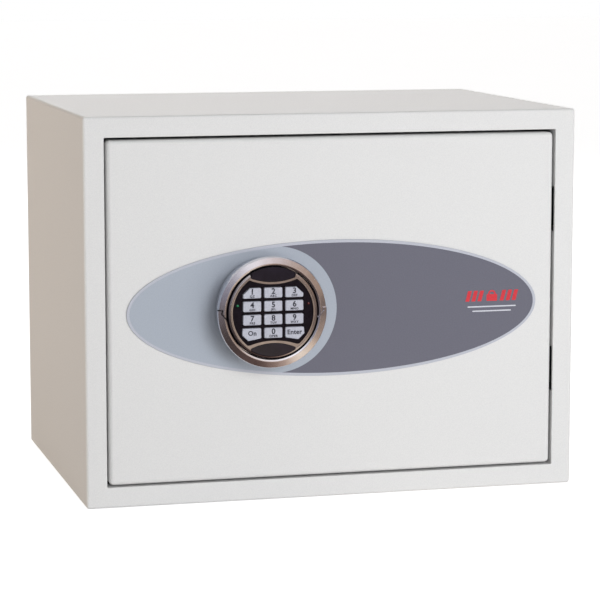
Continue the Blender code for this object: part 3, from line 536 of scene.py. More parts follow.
def body_shell():
    """Wrapped sheet steel, its front border and the edge folded in round the opening."""
    shell = block("body_shell", SHELL_LOW, SHELL_HIGH)
    soften(shell, SHELL_FOLD, 6, where=lambda middle: middle.y < BACK_Y - HAIR)
    inner = SHELL_HIGH.x - SHEET
    carve(shell, block("inside", (-inner, FACE_Y + SHEET, SHEET),
                       (inner, BACK_Y + PAST, SHELL_HIGH.z - SHEET)))
    carve(shell, block("fold", (-OPEN_X - SHEET, FACE_Y + SHEET / 2, OPEN_LOW - SHEET),
                       (OPEN_X + SHEET, FACE_Y + FOLD_DEPTH, OPEN_HIGH + SHEET)), "UNION")
    opening = rectangle((-OPEN_X, OPEN_LOW), (OPEN_X, OPEN_HIGH), 0.0008, 3)
    carve(shell, flat("opening", [opening], -FOLD_DEPTH - PAST, PAST))
    for low, high in HINGES.values():
        carve(shell, block("slot", (OPEN_X - SHEET / 2, FACE_Y + SHEET + CLEAR, low.z - SLOT_MARGIN),
                           (OPEN_X + SHEET * 1.5, FACE_Y + FOLD_DEPTH + PAST / 2, high.z + SLOT_MARGIN)))
    for plug in ("anchor_plug_1", "anchor_plug_3"):
        low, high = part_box(plug)
        middle = (low + high) / 2
        place = Matrix.Translation((middle.x, middle.y, 0))
        carve(shell, turned("hole", rod_profile(ANCHOR_RADIUS, PAST), place, 48))
    soften(shell, LIP_EDGE, 3, where=on_lip)
    return piece(shell, "body", COAT, "powder_coat", "outer_shell")


body_shell()
refined("rear_panel", "back_panel", "body", COAT, "powder_coat", 0.0004, 2)


# ---------------------------------------------------------------- door
FOLD_RADIUS = 0.0035
LEAD_DROP = 0.026        # keypad lead's hole, below the dial's axis
BORES = ((0, 0.006), (LEAD_DROP, 0.0025))     # each hole's drop below the dial's axis, and radius
BORE_REACH = 0.03


def bore(item):
    """Cuts the holes for the spindle and the keypad lead."""
    for drop, radius in BORES:
        place = DIAL @ Matrix.Translation((0, -drop, 0))
        carve(item, turned("bore", rod_profile(radius, BORE_REACH), place, 48))


def door_front():
    """The folded front pan of the door, open at the back."""
    solid = box_mesh(DOOR_LOW, DOOR_HIGH)
    back = [face for face in solid.faces if face.calc_center_median().y > DOOR_HIGH.y - HAIR]
    bmesh.ops.delete(solid, geom=back, context="FACES_ONLY")
    folds = [edge for edge in solid.edges if len(edge.link_faces) == 2]
    bmesh.ops.bevel(solid, geom=folds, offset=FOLD_RADIUS, segments=8, profile=0.5, affect="EDGES")
    door = new_object("door_front", solid)
    sheet = door.modifiers.new("sheet", "SOLIDIFY")
    sheet.thickness = SHEET
    sheet.offset = -1
    settle(door)
    bore(door)
    return piece(door, "door", COAT, "powder_coat", "door_skin")


door_front()

BADGE_X = (BADGE_LOW.x + BADGE_HIGH.x) / 2
BADGE_Z = (BADGE_LOW.z + BADGE_HIGH.z) / 2
BADGE_HALF = ((BADGE_HIGH.x - BADGE_LOW.x) / 2, (BADGE_HIGH.z - BADGE_LOW.z) / 2)
BADGE_TOP = FACE_Y - BADGE_LOW.y
BADGE_BORDER = 0.0023
BADGE_EDGE_RADIUS = 0.0003
DIVIDE_X = -0.048        # centre of the arc that divides the badge's two fields
DIVIDE_RADIUS = 0.0493
PRINT = 0.00005          # thickness of a printed layer


def on_oval(angle, inset):
    """A point on the badge's outline, moved in by a distance, at an angle in degrees."""
    return (BADGE_X + (BADGE_HALF[0] - inset) * math.cos(math.radians(angle)),
            BADGE_Z + (BADGE_HALF[1] - inset) * math.sin(math.radians(angle)))


def oval(inset, start, end, count):
    return [on_oval(start + (end - start) * i / count, inset) for i in range(count + 1)]


def dividing_angle():
    """Where the inner oval's upper half comes out of the dividing circle, in degrees."""
    angle = 150.0
    while True:
        x, z = on_oval(angle, BADGE_BORDER)
        if math.hypot(x - DIVIDE_X, z - BADGE_Z) > DIVIDE_RADIUS and x > DIVIDE_X:
            return angle
        angle -= 0.05


def badge():
    """The oval plate, with a pale border and its two printed fields."""
    base = flat("badge_base", [oval(0, 0, 360, 240)[:-1]], CLEAR, BADGE_TOP - PRINT)
    soften(base, BADGE_EDGE_RADIUS, 2)
    bore(base)
    piece(base, "door", BADGE_EDGE, "badge_face", "badge_plate")
    cusp = dividing_angle()
    x, z = on_oval(cusp, BADGE_BORDER)
    turn = math.degrees(math.atan2(z - BADGE_Z, x - DIVIDE_X))
    divide = arc((DIVIDE_X, BADGE_Z), DIVIDE_RADIUS, -turn, turn, 90)
    right = oval(BADGE_BORDER, cusp, -cusp, 200)
    left = oval(BADGE_BORDER, cusp, 360 - cusp, 140)
    for name, outline, look in (("badge_dark_field", right + divide[1:-1], BADGE_DARK),
                                ("badge_light_field", left + divide[1:-1], BADGE_LIGHT)):
        field = flat(name, [outline], BADGE_TOP - PRINT, BADGE_TOP)
        bore(field)
        piece(field, "door", look, "badge_face")


badge()


MARK = (0.1280, 0.1540)          # middle of the mark
MARK_BAR = (0.0016, 0.0042, 0.0011)       # a bar's half width, half height and lean
MARK_BARS = (-0.0192, -0.0142, -0.0092, 0.0092, 0.0142, 0.0192)
MARK_LINE = 0.0005               # half the height of a line
MARK_LINES = (("upper", 0.0200, 0.0085), ("lower", 0.0160, 0.0120))


def badge_mark():
    """A generic mark: a padlock sign between slanted red bars, over two pale hairlines."""
    x, z = MARK
    top = BADGE_TOP + PRINT
    sign = [rectangle((x - 0.0044, z - 0.0042), (x + 0.0044, z + 0.0012), 0.0007, 3)]
    item = flat("mark_padlock", sign, BADGE_TOP, top)
    shackle = [arc((x, z + 0.0012), 0.0032, 0, 180, 16) + arc((x, z + 0.0012), 0.0020, 180, 0, 16)]
    carve(item, flat("shackle", shackle, BADGE_TOP, top), "UNION")
    piece(item, "door", MARK_RED, "badge_face")
    half, height, lean = MARK_BAR
    for number, offset in enumerate(MARK_BARS, 1):
        middle = x + offset
        corners = [(middle - half - lean, z - height), (middle + half - lean, z - height),
                   (middle + half + lean, z + height), (middle - half + lean, z + height)]
        piece(flat(f"mark_bar_{number}", [corners], BADGE_TOP, top), "door", MARK_RED, "badge_face")
    for name, half, drop in MARK_LINES:
        outline = rectangle((x - half, z - drop - MARK_LINE), (x + half, z - drop + MARK_LINE),
                            MARK_LINE * 0.9, 3)
        line = flat(f"mark_line_{name}", [outline], BADGE_TOP, top)
        piece(line, "door", MARK_PALE, "badge_face")


badge_mark()

# ---------------------------------------------------------------- keypad
# Heights here are from the front of the door, and radii from the dial's axis.
RING_EDGE = (RING_HIGH.x - RING_LOW.x) / 2
RING_TOP = FACE_Y - RING_LOW.y
RING_INNER = 0.0362      # inside of the rim, in front of the web
RING_WALL = 0.0382       # inside of the rim, behind the web
RIM_TOP = 0.0376         # radius where the rim's flat front starts to slope
WEB_LOW = 0.0090
WEB_HIGH = 0.0118
WEB_SLOT = (0.0208, 0.0312)        # radii of the slots that the pillars pass through
SLOT_TURN = (86, 11)     # how far each slot runs behind and ahead of its pillar at rest, in degrees
PILLARS = (30, 150, 270)
FOOT_RADIUS = 0.0404     # outside of the rim where it meets the door
FOOT = 0.0018
HUB_RADIUS = 0.0043
BEVEL = 0.0010           # width of the upper half's bevel
BEVEL_LOW = 0.0196
GROOVE = 0.0009
STEP_Y = 0.0034          # the upper half, with its wider bevel, starts here
STEP_LINE = ((0.0450, 0.0034), (0.0392, 0.0028), (0.0400, 0.0004), (0.0360, -0.0046))


def groove(start, end):
    """A cutter for a straight groove between two points of the dial's front."""
    start, end = Vector(start), Vector(end)
    half = (end - start).length / 2 + GROOVE / 2
    middle = (start + end) / 2
    turn = Matrix.Rotation(math.atan2(end.y - start.y, end.x - start.x), 4, "Z")
    place = DIAL @ Matrix.Translation((middle.x, middle.y, 0)) @ turn
    return block("groove", (-half, -GROOVE / 2, RING_TOP - GROOVE * 4),
                 (half, GROOVE / 2, RING_TOP + PAST), place)


def dial_ring():
    """The turning ring: a sloping rim with a wider bevel on its upper half, and a web inside."""
    outside = rounded([
        (RIM_TOP, RING_TOP, 0.0010), (RING_EDGE - 0.0005, RING_TOP - 0.0014, 0.0003),
        (RING_EDGE, RING_TOP - 0.0024, 0.0006), (RING_EDGE - 0.0002, 0.0180, 0.0020),
        (FOOT_RADIUS, FOOT, 0.0005), (RING_WALL, FOOT, 0.0003), (RING_WALL, WEB_LOW, 0.0003),
        (HUB_RADIUS, WEB_LOW, 0), (HUB_RADIUS, WEB_HIGH, 0),
        (RING_INNER, WEB_HIGH, 0.0003), (RING_INNER, RING_TOP - 0.0008, 0.0006),
    ], 8)
    ring = turned("dial_ring", outside, DIAL, 200)
    inner, outer = WEB_SLOT
    for pillar in PILLARS:
        start, end = pillar - SLOT_TURN[0], pillar + SLOT_TURN[1]
        slot = [arc((0, 0), outer, start, end, 40) + arc((0, 0), inner, end, start, 40)]
        carve(ring, flat("web_slot", slot, WEB_LOW - SHEET, WEB_HIGH + SHEET, DIAL))
    start, clear_of_ring = RING_EDGE - BEVEL, RING_EDGE + PAST
    bevel = turned("bevel", [(start, RING_TOP + SHEET), (clear_of_ring, RING_TOP + SHEET),
                             (clear_of_ring, 0.0170), (RING_EDGE, BEVEL_LOW), (start, RING_TOP - 0.0011)],
                   DIAL, 200)
    carve(bevel, block("lower_half", (-clear_of_ring - PAST, -clear_of_ring - PAST, PAST),
                       (clear_of_ring + PAST, STEP_Y, RING_TOP + PAST), DIAL))
    carve(ring, bevel)
    for side in (-1, 1):
        for start, end in zip(STEP_LINE, STEP_LINE[1:]):
            carve(ring, groove((side * start[0], start[1]), (side * end[0], end[1])))
    return piece(ring, "dial", NICKEL, "nickel_chrome", "bezel_ring")


dial_ring()

FACE_RADIUS = 0.0354     # black face of the keypad
FACE_TOP = 0.0232
SIDE_RADIUS = 0.0346     # outside of the bright band
BAND = 0.0016            # width of the band above the keys
SIDE_BAND = 0.0029       # and beside them
WINDOW_HALF = 0.0172     # half the width of the window's lower edge
WINDOW_END = 0.0270      # that edge's ends and middle, above the axis
WINDOW_MIDDLE = 0.0240
TAB_HALF = 0.0172        # the same for the flap's upper edge
TAB_END = -0.0270
TAB_MIDDLE = -0.0234
FRONT_TOP = FACE_TOP + 0.0011      # front of the band
COVER_TOP = FACE_TOP + 0.0016
FACE_BACK = 0.0153       # back of the face's skirt
FACE_WEB = 0.0208        # back of the face's disc
SKIRT = 0.0020
LAMP_Y = 0.0063
LAMPS = (("green", -0.0276, GREEN), ("red", 0.0280, RED))
CONTACTS = (("left", -0.0052), ("right", 0.0052))
CONTACT_Y = -0.0285
RECESS_HALF = 0.0110     # hollow behind the flap, which clears the contacts
RECESS_Y = (-0.0312, -0.0260)
KEY_CORNER = 0.0010
KEY_SLACK = 0.0004       # gap round each key
CUT_X = 0.0054           # what is cut off the outer corners of the top row
CUT_Y = 0.0050
DIGIT, LETTERS, WORD = 0.0060, 0.0024, 0.0050     # sizes of the legends
KEY_ROWS = (("1", "2", "3"), ("4", "5", "6"), ("7", "8", "9"), ("on", "0", "enter"))
LEGENDS = {"1": "QZ", "2": "ABC", "3": "DEF", "4": "GHI", "5": "JKL", "6": "MNO",
           "7": "PRS", "8": "TUV", "9": "WXY", "0": "OPER"}


def key_frame(name):
    """A key's middle in the dial's frame, and half its size without its cut corners."""
    low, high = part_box(f"key_{name}")
    middle, half = (low + high) / 2, (high - low) / 2
    return (middle.x - DIAL_X, middle.z - DIAL_Z), (half.x, half.z)


KEY_MIDDLE, KEY_HALF = key_frame("5")
KEY_PITCH = (key_frame("6")[0][0] - KEY_MIDDLE[0], key_frame("5")[0][1] - key_frame("8")[0][1])
KEY_TOP = FACE_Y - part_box("key_5")[0].y
KEY_LOW = FACE_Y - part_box("key_5")[1].y
INK_TOP = 0.00006        # thickness of the legends


def key_centre(column, row):
    return KEY_MIDDLE[0] + (column - 1) * KEY_PITCH[0], KEY_MIDDLE[1] + (1 - row) * KEY_PITCH[1]


def key_corners(column, row, grow=0.0):
    """A key's corners. The outer corners of the top and bottom rows are cut to follow the ring."""
    x, y = key_centre(column, row)
    half_x, half_y = KEY_HALF[0] + grow, KEY_HALF[1] + grow
    side = column - 1
    if side == 0 or row in (1, 2):
        return [(x - half_x, y - half_y), (x + half_x, y - half_y),
                (x + half_x, y + half_y), (x - half_x, y + half_y)]
    outer = half_x * side
    if row == 0:
        points = [(-outer, -half_y), (outer, -half_y), (outer, half_y - CUT_Y - grow * 0.4),
                  (outer - (CUT_X + grow * 0.4) * side, half_y), (-outer, half_y)]
    else:
        drop = 0.0018
        points = [(-outer, half_y), (outer + 0.0004 * side, half_y),
                  (outer + 0.0008 * side, -0.0012 - grow * 0.3),
                  (outer - 0.0040 * side, -half_y - drop), (-outer, -half_y)]
    points = [(x + px, y + py) for px, py in points]
    return points if (row == 0) == (side > 0) else points[::-1]


def key_cap(name, column, row):
    """A cap with rounded corners and a softly rounded top."""
    outline = rounded(with_radius(key_corners(column, row), KEY_CORNER), 5)
    cap = flat(f"cap_{name}", [outline], KEY_LOW, KEY_TOP, DIAL)
    soften(cap, 0.0008, 5, where=lambda middle: middle.y < FACE_Y - KEY_TOP + HAIR)
    return piece(cap, f"key_{name}", CAPS, "key_caps", f"key_{name}")


def words(name, text, size, centre, bold, spacing):
    """Flat lettering on the keys, centred on a point of the dial's frame."""
    low, high = KEY_TOP - HAIR, KEY_TOP + INK_TOP
    curve = bpy.data.curves.new(name, "FONT")
    curve.body = text
    curve.size = size
    curve.space_character = spacing
    curve.offset = bold
    curve.align_x = "CENTER"
    curve.align_y = "CENTER"
    curve.extrude = (high - low) / 2
    curve.resolution_u = 4
    solid = solid_from_curve(name, curve, 1e-7)
    bmesh.ops.translate(solid, vec=(*centre, (low + high) / 2), verts=solid.verts)
    return new_object(name, solid, DIAL)


def keys():
    """The caps, and on each its digit over its letters, or its word."""
    for row, names in enumerate(KEY_ROWS):
        for column, name in enumerate(names):
            key_cap(name, column, row)
            x, y = key_centre(column, row)
            if name in LEGENDS:
                legends = (("digit", name, DIGIT, y + 0.0010, 0.00015, 1.0),
                           ("letters", LEGENDS[name], LETTERS, y - 0.0025, 0.00009, 1.2))
            else:
                legends = (("word", name.capitalize(), WORD, y, 0.00012, 1.05),)
            for kind, text, size, height, bold, spacing in legends:
                item = words(f"{kind}_{name}", text, size, (x, height), bold, spacing)
                piece(item, f"key_{name}", INK, "key_caps")


keys()


def arc_through(half_width, end_y, middle_y, count=40):
    """A shallow arc from +half_width to -half_width, at end_y at its ends and middle_y between."""
    sag = middle_y - end_y
    radius = (half_width ** 2 + sag ** 2) / (2 * abs(sag))
    centre_y = middle_y - math.copysign(radius, sag)
    reach = math.degrees(math.asin(half_width / radius))
    middle = math.copysign(90, sag)
    turn = math.copysign(reach, sag)
    return arc((0, centre_y), radius, middle - turn, middle + turn, count)


def angle_of(x, y):
    return math.degrees(math.atan2(y, x))


def keypad_front():
    """The black front of the keypad: a disc with a skirt and a hole for each key."""
    profile = [(0, FACE_TOP), (FACE_RADIUS - 0.0008, FACE_TOP), (FACE_RADIUS - 0.0002, FACE_TOP - 0.0002),
               (FACE_RADIUS, FACE_TOP - 0.0008), (FACE_RADIUS, FACE_BACK), (FACE_RADIUS - SKIRT, FACE_BACK),
               (FACE_RADIUS - SKIRT, FACE_WEB), (0, FACE_WEB)]
    face = turned("keypad_front", profile, DIAL, 160)
    for row in range(4):
        for column in range(3):
            corners = with_radius(key_corners(column, row, KEY_SLACK), KEY_CORNER)
            carve(face, flat("key_hole", [rounded(corners, 4)], FACE_WEB - SHEET, FACE_TOP + PAST, DIAL))
    piece(face, "door", BLACK, "black_moulding", "keypad_face")


def window_outline():
    lower = arc_through(WINDOW_HALF, WINDOW_END, WINDOW_MIDDLE)
    top_x = WINDOW_HALF - 0.0004
    corner = angle_of(top_x, math.sqrt(FACE_RADIUS ** 2 - top_x ** 2))
    return lower[::-1] + arc((0, 0), FACE_RADIUS - 0.0004, corner, 180 - corner, 60)


def tab_outline(extra=0.0):
    upper = arc_through(TAB_HALF + extra, TAB_END + extra * 0.5, TAB_MIDDLE + extra)
    radius = SIDE_RADIUS - 0.0012 + extra
    corner = angle_of(TAB_HALF + extra, -math.sqrt(radius ** 2 - (TAB_HALF + extra) ** 2))
    return upper + arc((0, 0), radius, -180 - corner, corner, 60)


def trim():
    """The bright band round the keys, which also frames the contact cover."""
    lower = arc_through(WINDOW_HALF, WINDOW_END - CLEAR, WINDOW_MIDDLE - CLEAR)
    corner = angle_of(WINDOW_HALF + 0.0008, math.sqrt(SIDE_RADIUS ** 2 - (WINDOW_HALF + 0.0008) ** 2))
    outside = lower[::-1] + arc((0, 0), SIDE_RADIUS, corner, 180 - corner - 360, 160)
    top = arc_through(WINDOW_HALF - 0.001, WINDOW_END - CLEAR - BAND - 0.0004, WINDOW_MIDDLE - CLEAR - BAND)
    bottom = arc_through(TAB_HALF + 0.0010, TAB_END + 0.0026, TAB_MIDDLE + 0.0021)
    inner = SIDE_RADIUS - SIDE_BAND
    high = angle_of(*top[0])
    low = angle_of(*bottom[0])
    hole = (top + arc((0, 0), inner, 180 - high, 180 - low, 40)[1:-1]
            + bottom[::-1] + arc((0, 0), inner, low, high, 40)[1:-1])
    item = flat("keypad_band", [outside, hole, tab_outline(CLEAR)], FACE_TOP + CLEAR, FRONT_TOP, DIAL)
    groove_top = FACE_TOP + 0.0020
    middle = SIDE_RADIUS - SIDE_BAND * 0.62
    carve(item, turned("groove", [(middle - 0.0004, groove_top), (middle + 0.0004, groove_top),
                                  (middle + 0.0002, FACE_TOP + 0.0006), (middle - 0.0002, FACE_TOP + 0.0006)],
                       DIAL, 160))
    slope = [(SIDE_RADIUS - 0.0013, FRONT_TOP), (SIDE_RADIUS + 0.0005, FRONT_TOP + 0.0010),
             (SIDE_RADIUS + 0.0005, FACE_TOP + HAIR)]
    carve(item, turned("slope", slope, DIAL, 160))
    soften(item, 0.0002, 2)
    piece(item, "door", TRIM, "nickel_chrome", "keypad_trim")


def small_front_parts():
    window = flat("window", [window_outline()], FACE_TOP + CLEAR, FACE_TOP + 0.0009, DIAL)
    soften(window, 0.0002, 2)
    piece(window, "door", GLOSS, "black_window", "keypad_window")
    for name, x, look in LAMPS:
        dome = [(0, FACE_TOP + 0.0009), (0.0005, FACE_TOP + 0.00082), (0.0009, FACE_TOP + 0.0005),
                (0.0010, FACE_TOP), (0, FACE_TOP)]
        lens = turned(f"lens_{name}", dome, DIAL @ Matrix.Translation((x, LAMP_Y, 0)), 32)
        piece(lens, "door", look, f"{name}_led", f"led_{name}")
    for name, x in CONTACTS:
        stud = [(0, FACE_TOP + 0.0009), (0.0011, FACE_TOP + 0.0009), (0.0016, FACE_TOP + 0.0005),
                (0.0016, FACE_TOP + CLEAR), (0, FACE_TOP + CLEAR)]
        item = turned(f"stud_{name}", stud, DIAL @ Matrix.Translation((x, CONTACT_Y, 0)), 32)
        piece(item, "door", TRIM, "nickel_chrome", f"contact_{name}")


def contact_flap():
    """The flap over the power contacts."""
    flap = flat("contact_flap", [tab_outline()], FACE_TOP + CLEAR, COVER_TOP, DIAL)
    soften(flap, 0.0004, 3)
    carve(flap, block("recess", (-RECESS_HALF, RECESS_Y[0], FACE_TOP - SHEET),
                      (RECESS_HALF, RECESS_Y[1], FACE_TOP + 0.0010), DIAL))
    piece(flap, "contact_cover", GLOSS, "black_moulding", "contact_cover")


keypad_front()
trim()
small_front_parts()
contact_flap()

# ---------------------------------------------------------------- hinges, bolts and the back of the door
ROUNDED = {
    "floor_mat": ("body", FELT, "floor_felt", 0.0008), "rear_cover": ("door", COAT, "powder_coat", 0.0009),
    "hinge_bracket_lower": ("body", ZINC, "zinc_steel", 0.0004),
    "hinge_bracket_upper": ("body", ZINC, "zinc_steel", 0.0004),
    "hinge_arm_lower": ("door", HARD, "hard_steel", 0.0006),
    "hinge_arm_upper": ("door", HARD, "hard_steel", 0.0006),
    "battery_cover": ("door", PLASTIC, "grey_plastic", 0.0003),
    "lock_bolt": ("lock_bolt", NICKEL, "nickel_chrome", 0.0002),
    "bolt_carriage": ("bolt_work", ZINC, "zinc_steel", 0.0003),
    "bolt_guide_lower": ("door", PLASTIC, "grey_plastic", 0.0003),
    "bolt_guide_upper": ("door", PLASTIC, "grey_plastic", 0.0003),
}
for node, (body, look, slot, width) in ROUNDED.items():
    refined(f"{node}_fine", node, body, look, slot, width, 3)


def middle_of(node):
    low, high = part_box(node)
    return (low + high) / 2, high - low


def bolts_and_pins():
    """Locking bolts lie along X. Hinge pins stand along Z, with a head at the top."""
    for end in ("lower", "upper"):
        middle, size = middle_of(f"bolt_{end}")
        radius, half, chamfer = size.z / 2, size.x / 2, 0.0013
        profile = rounded([(0, -half, 0), (radius - chamfer, -half, 0.0002), (radius, chamfer - half, 0.0003),
                           (radius, half - chamfer, 0.0003), (radius - chamfer, half, 0.0002),
                           (0, half, 0)], 4)
        lying = Matrix.Translation(middle) @ Matrix.Rotation(math.radians(90), 4, "Y")
        bolt = turned(f"locking_bolt_{end}", profile, lying, 72)
        piece(bolt, "bolt_work", NICKEL, "nickel_chrome", f"bolt_{end}")
        middle, size = middle_of(f"hinge_pin_{end}")
        head, shank, length = size.x / 2, 0.0020, size.z
        profile = rounded([(0, 0, 0), (head - 0.0004, 0, 0.0003), (head, -0.0005, 0.0002),
                           (head, -0.0012, 0.0001), (shank, -0.0012, 0), (shank, -length, 0.0003),
                           (0, -length, 0)], 3)
        standing = Matrix.Translation((middle.x, middle.y, middle.z + length / 2))
        piece(turned(f"pin_{end}", profile, standing, 48), "body", HARD, "hard_steel", f"hinge_pin_{end}")


bolts_and_pins()


def plugs():
    """Push-in caps: the odd ones lie in the floor, the even ones face forward from the back."""
    for number in range(1, 5):
        middle, size = middle_of(f"anchor_plug_{number}")
        if number % 2:
            depth, place = size.z, Matrix.Translation((middle.x, middle.y, middle.z + size.z / 2))
        else:
            depth, place = size.y, Matrix.Translation((middle.x, middle.y - size.y / 2, middle.z)) @ TURN
        profile = rounded([(0, 0, 0), (0.0074, 0, 0.0008), (0.0085, -0.0011, 0.0004),
                           (0.0085, -0.0017, 0.0001), (0.0052, -0.0017, 0), (0.0052, -depth, 0.0002),
                           (0, -depth, 0)], 4)
        cap = turned(f"cap_{number}_of_anchor", profile, place, 64)
        carve(cap, block("lever_slot", (-0.0035, -0.0088, -0.0013), (0.0035, -0.0078, 0.001), place))
        piece(cap, "body", PLASTIC, "grey_plastic", f"anchor_plug_{number}")


plugs()


def cover_screws():
    """Domed screws with a cross recess, heads towards the inside of the safe."""
    for number in range(1, 5):
        middle, size = middle_of(f"cover_screw_{number}")
        place = (Matrix.Translation((middle.x, middle.y + size.y / 2, middle.z))
                 @ Matrix.Rotation(math.radians(-90), 4, "X"))
        head, shank = size.x / 2, 0.0018
        profile = rounded([(0, 0, 0), (0.0020, -0.0002, 0.0010), (head, -0.0011, 0.0006),
                           (head, -0.0020, 0.0001), (shank, -0.0020, 0), (shank, -size.y, 0),
                           (0, -size.y, 0)], 4)
        screw = turned(f"screw_{number}", profile, place, 48)
        for half_x, half_y in ((0.0016, 0.0004), (0.0004, 0.0016)):
            carve(screw, block("cross", (-half_x, -half_y, -0.0009), (half_x, half_y, 0.002), place))
        piece(screw, "door", ZINC, "zinc_steel", f"cover_screw_{number}")


cover_screws()


# ---------------------------------------------------------------- CAD nodes that keep their shape
KEPT = {
    "door_inner_plate": (ZINC, "zinc_steel"), "hard_plate": (HARD, "hard_steel"),
    "battery_pack": (PLASTIC, "grey_plastic"), "lock_body": (CASTING, "lock_casting"),
    "spindle": (ZINC, "zinc_steel"), "drive_cam": (HARD, "hard_steel"),
    "spindle_bush": (PLASTIC, "grey_plastic"), "keypad_base": (BLACK, "black_moulding"),
    "key_mat": (SILICONE, "silicone_mat"),
    "keypad_board": (BOARD, "circuit_board"), "keypad_lead": (SHEATH, "lead_sheath"),
    "battery_lead": (SHEATH, "lead_sheath"),
}
for name, (look, slot) in KEPT.items():
    item = frame["nodes"][name]
    item.data.materials.clear()
    item.data.materials.append(look)


# ---------------------------------------------------------------- floor, light and camera
def shown_and_reflected(tree, shown, reflected, output):
    """Mirrors see a studio of their own, while everything else sees plain white."""
    path = tree.nodes.new("ShaderNodeLightPath")
    mix = tree.nodes.new("ShaderNodeMixShader")
    tree.links.new(path.outputs["Is Glossy Ray"], mix.inputs["Fac"])
    tree.links.new(shown, mix.inputs[1])
    tree.links.new(reflected, mix.inputs[2])
    tree.links.new(mix.outputs[0], output)


def ramp(tree, source, stops):
    """A colour ramp from (position, colour) stops."""
    made = tree.nodes.new("ShaderNodeValToRGB")
    elements = made.color_ramp.elements
    for number, (position, colour) in enumerate(stops):
        element = elements[number] if number < 2 else elements.new(position)
        element.position = position
        element.color = (*colour, 1)
    tree.links.new(source, made.inputs["Fac"])
    return made.outputs["Color"]


def remapped(tree, source, low, high):
    """A value stretched so that low to high runs from 0 to 1."""
    made = tree.nodes.new("ShaderNodeMapRange")
    made.inputs["From Min"].default_value = low
    made.inputs["From Max"].default_value = high
    tree.links.new(source, made.inputs["Value"])
    return made.outputs["Result"]


def blended(tree, operation, first, second, factor=None):
    """Two colours blended by a factor, or in full where none is given."""
    made = tree.nodes.new("ShaderNodeMix")
    made.data_type = "RGBA"
    made.blend_type = operation
    made.inputs["Factor"].default_value = 1
    if factor is not None:
        tree.links.new(factor, made.inputs["Factor"])
    tree.links.new(first, made.inputs[COLOUR_A])
    tree.links.new(second, made.inputs[COLOUR_B])
    return made.outputs[COLOUR_MADE]


COLOUR_A, COLOUR_B, COLOUR_MADE = 6, 7, 2     # a mix node's colour sockets
FLOOR_GLOW = 0.74        # light that the floor adds in the picture
FLOOR_BOUNCE = 0.20      # light that the floor throws on the safe
MIRRORED = 1.6           # strength of what shows in the metal
# What the metal mirrors, as stops from left to right.
FLOOR_MIRRORED = (
    (0.0, (0.12, 0.10, 0.10)), (0.20, (0.05, 0.036, 0.032)), (0.30, (0.09, 0.055, 0.045)),
    (0.345, (0.34, 0.235, 0.185)), (0.395, (0.78, 0.67, 0.54)), (0.45, (0.55, 0.42, 0.31)),
    (0.51, (0.30, 0.22, 0.17)), (0.91, (0.13, 0.10, 0.085)),
)
SIDES_MIRRORED = (
    (0.0, (0.30, 0.30, 0.33)), (0.25, (0.16, 0.15, 0.17)), (0.38, (0.22, 0.205, 0.24)),
    (0.44, (0.55, 0.53, 0.54)), (0.483, (0.75, 0.72, 0.72)), (0.62, (0.61, 0.51, 0.485)),
    (0.745, (0.40, 0.30, 0.235)), (0.83, (0.30, 0.21, 0.155)),
)
ABOVE_MIRRORED = ((0.3, (0.9, 0.9, 0.9)), (0.7, (0.75, 0.68, 0.64)))
BEHIND_DIMMED = ((0.5, (1, 1, 1)), (0.75, (0.4, 0.42, 0.43)))


def floor():
    """A pale floor. What shines sees it warm on the right and brown on the left."""
    solid = bmesh.new()
    bmesh.ops.create_grid(solid, x_segments=1, y_segments=1, size=12)
    item = new_object("studio_floor", solid, Matrix.Translation((0, 0, -0.0002)))
    look = Look("studio_floor", 0.6)
    look.colours(look.noise(0.4, 2), linear(206, 206, 206), linear(209, 209, 209))
    look.shader.inputs["Emission Color"].default_value = (1, 1, 1, 1)
    parts = look.node("ShaderNodeSeparateXYZ")
    look.link(look.place, parts.inputs[0])
    across = remapped(look.tree, parts.outputs["X"], -0.4, 0.8)
    colour = ramp(look.tree, across, FLOOR_MIRRORED)
    glow = look.node("ShaderNodeEmission", Strength=MIRRORED)
    look.link(colour, glow.inputs["Color"])
    output = look.tree.nodes["Material Output"].inputs["Surface"]
    strength = remapped(look.tree, look.node("ShaderNodeLightPath").outputs["Is Camera Ray"], 0, 1)
    strength.node.inputs["To Min"].default_value = FLOOR_BOUNCE
    strength.node.inputs["To Max"].default_value = FLOOR_GLOW
    look.link(strength, look.shader.inputs["Emission Strength"])
    shown_and_reflected(look.tree, look.shader.outputs[0], glow.outputs[0], output)
    item.data.materials.append(look.material)


def lamp_panel(name, place, target, size, power, colour, in_metal):
    light = bpy.data.lights.new(name, "AREA")
    light.shape = "RECTANGLE"
    light.size, light.size_y = size
    light.energy = power
    light.color = colour
    item = bpy.data.objects.new(name, light)
    bpy.context.scene.collection.objects.link(item)
    item.location = place
    item.rotation_euler = (Vector(target) - Vector(place)).to_track_quat("-Z", "Y").to_euler()
    item.visible_camera = False
    item.visible_glossy = in_metal


AMBIENT = 0.31
SAFE_MIDDLE = (0, 0, 0.15)
# Name, place, target, size, power, colour, and whether it shows in the metal.
PANELS = (
    ("key", (0.6, -2.45, 0.9), SAFE_MIDDLE, (1.2, 1.0), 25.4, (0.965, 0.98, 1.0), False),
    ("low", (0.4, -1.0, 0.05), (0.05, FACE_Y, 0.0), (0.9, 0.1), 2.2, (1, 1, 1), False),
    ("warm_side", (-2.0, 0.5, 0.7), SAFE_MIDDLE, (0.8, 0.8), 13, (1.0, 0.78, 0.56), False),
    ("back_fill", (0.6, 2.4, 1.4), SAFE_MIDDLE, (1.6, 1.2), 15, (1, 1, 1), True),
)


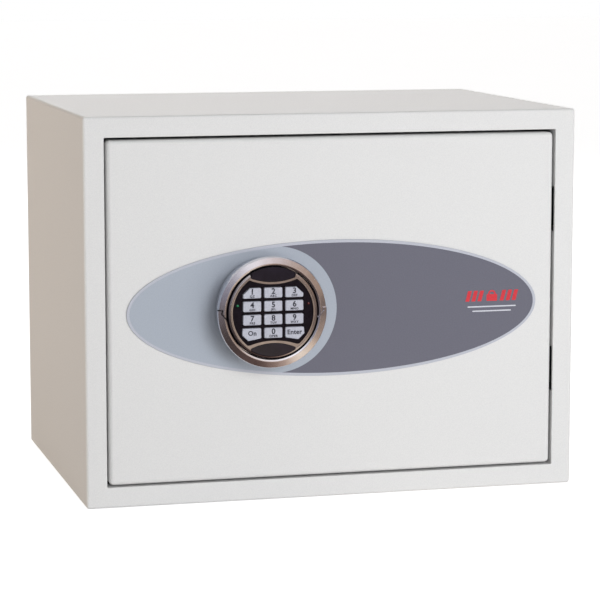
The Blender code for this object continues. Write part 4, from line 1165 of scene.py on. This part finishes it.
def world():
    """Plain white round the safe, dimmer as light, with a studio of its own in the metal."""
    made = bpy.data.worlds.new("studio")
    bpy.context.scene.world = made
    made.use_nodes = True
    tree = made.node_tree
    lit = tree.nodes["Background"]
    lit.inputs["Color"].default_value = (1, 1, 1, 1)
    lit.inputs["Strength"].default_value = AMBIENT
    seen = tree.nodes.new("ShaderNodeBackground")
    seen.inputs["Color"].default_value = (1, 1, 1, 1)
    path = tree.nodes.new("ShaderNodeLightPath")
    plain = tree.nodes.new("ShaderNodeMixShader")
    tree.links.new(path.outputs["Is Camera Ray"], plain.inputs["Fac"])
    tree.links.new(lit.outputs[0], plain.inputs[1])
    tree.links.new(seen.outputs[0], plain.inputs[2])
    parts = tree.nodes.new("ShaderNodeSeparateXYZ")
    tree.links.new(tree.nodes.new("ShaderNodeTexCoord").outputs["Generated"], parts.inputs[0])
    across = remapped(tree, parts.outputs["X"], -1, 1)
    sides = ramp(tree, across, SIDES_MIRRORED)
    high = ramp(tree, across, ABOVE_MIRRORED)
    above = remapped(tree, parts.outputs["Z"], 0.36, 0.62)
    dim = ramp(tree, remapped(tree, parts.outputs["Y"], -1, 1), BEHIND_DIMMED)
    colour = blended(tree, "MULTIPLY", blended(tree, "MIX", sides, high, above), dim)
    mirrored = tree.nodes.new("ShaderNodeBackground")
    mirrored.inputs["Strength"].default_value = MIRRORED
    tree.links.new(colour, mirrored.inputs["Color"])
    output = tree.nodes["World Output"].inputs["Surface"]
    shown_and_reflected(tree, plain.outputs[0], mirrored.outputs[0], output)


CAMERA_PLACE = (-0.5184, FACE_Y - 1.8735, 0.4289)
CAMERA_YAW = math.radians(14.675)
CAMERA_PITCH = math.radians(8.025)               # downwards
CAMERA_LENS = 152.0


def camera():
    data = bpy.data.cameras.new("camera")
    item = bpy.data.objects.new("camera", data)
    bpy.context.scene.collection.objects.link(item)
    data.sensor_width = 36
    data.lens = CAMERA_LENS
    item.location = CAMERA_PLACE
    level = math.cos(CAMERA_PITCH)
    direction = Vector((math.sin(CAMERA_YAW) * level, math.cos(CAMERA_YAW) * level, -math.sin(CAMERA_PITCH)))
    item.rotation_euler = direction.to_track_quat("-Z", "Y").to_euler()
    bpy.context.scene.camera = item


floor()
for panel in PANELS:
    lamp_panel(*panel)
world()
bpy.context.scene.view_settings.view_transform = "Standard"
camera()
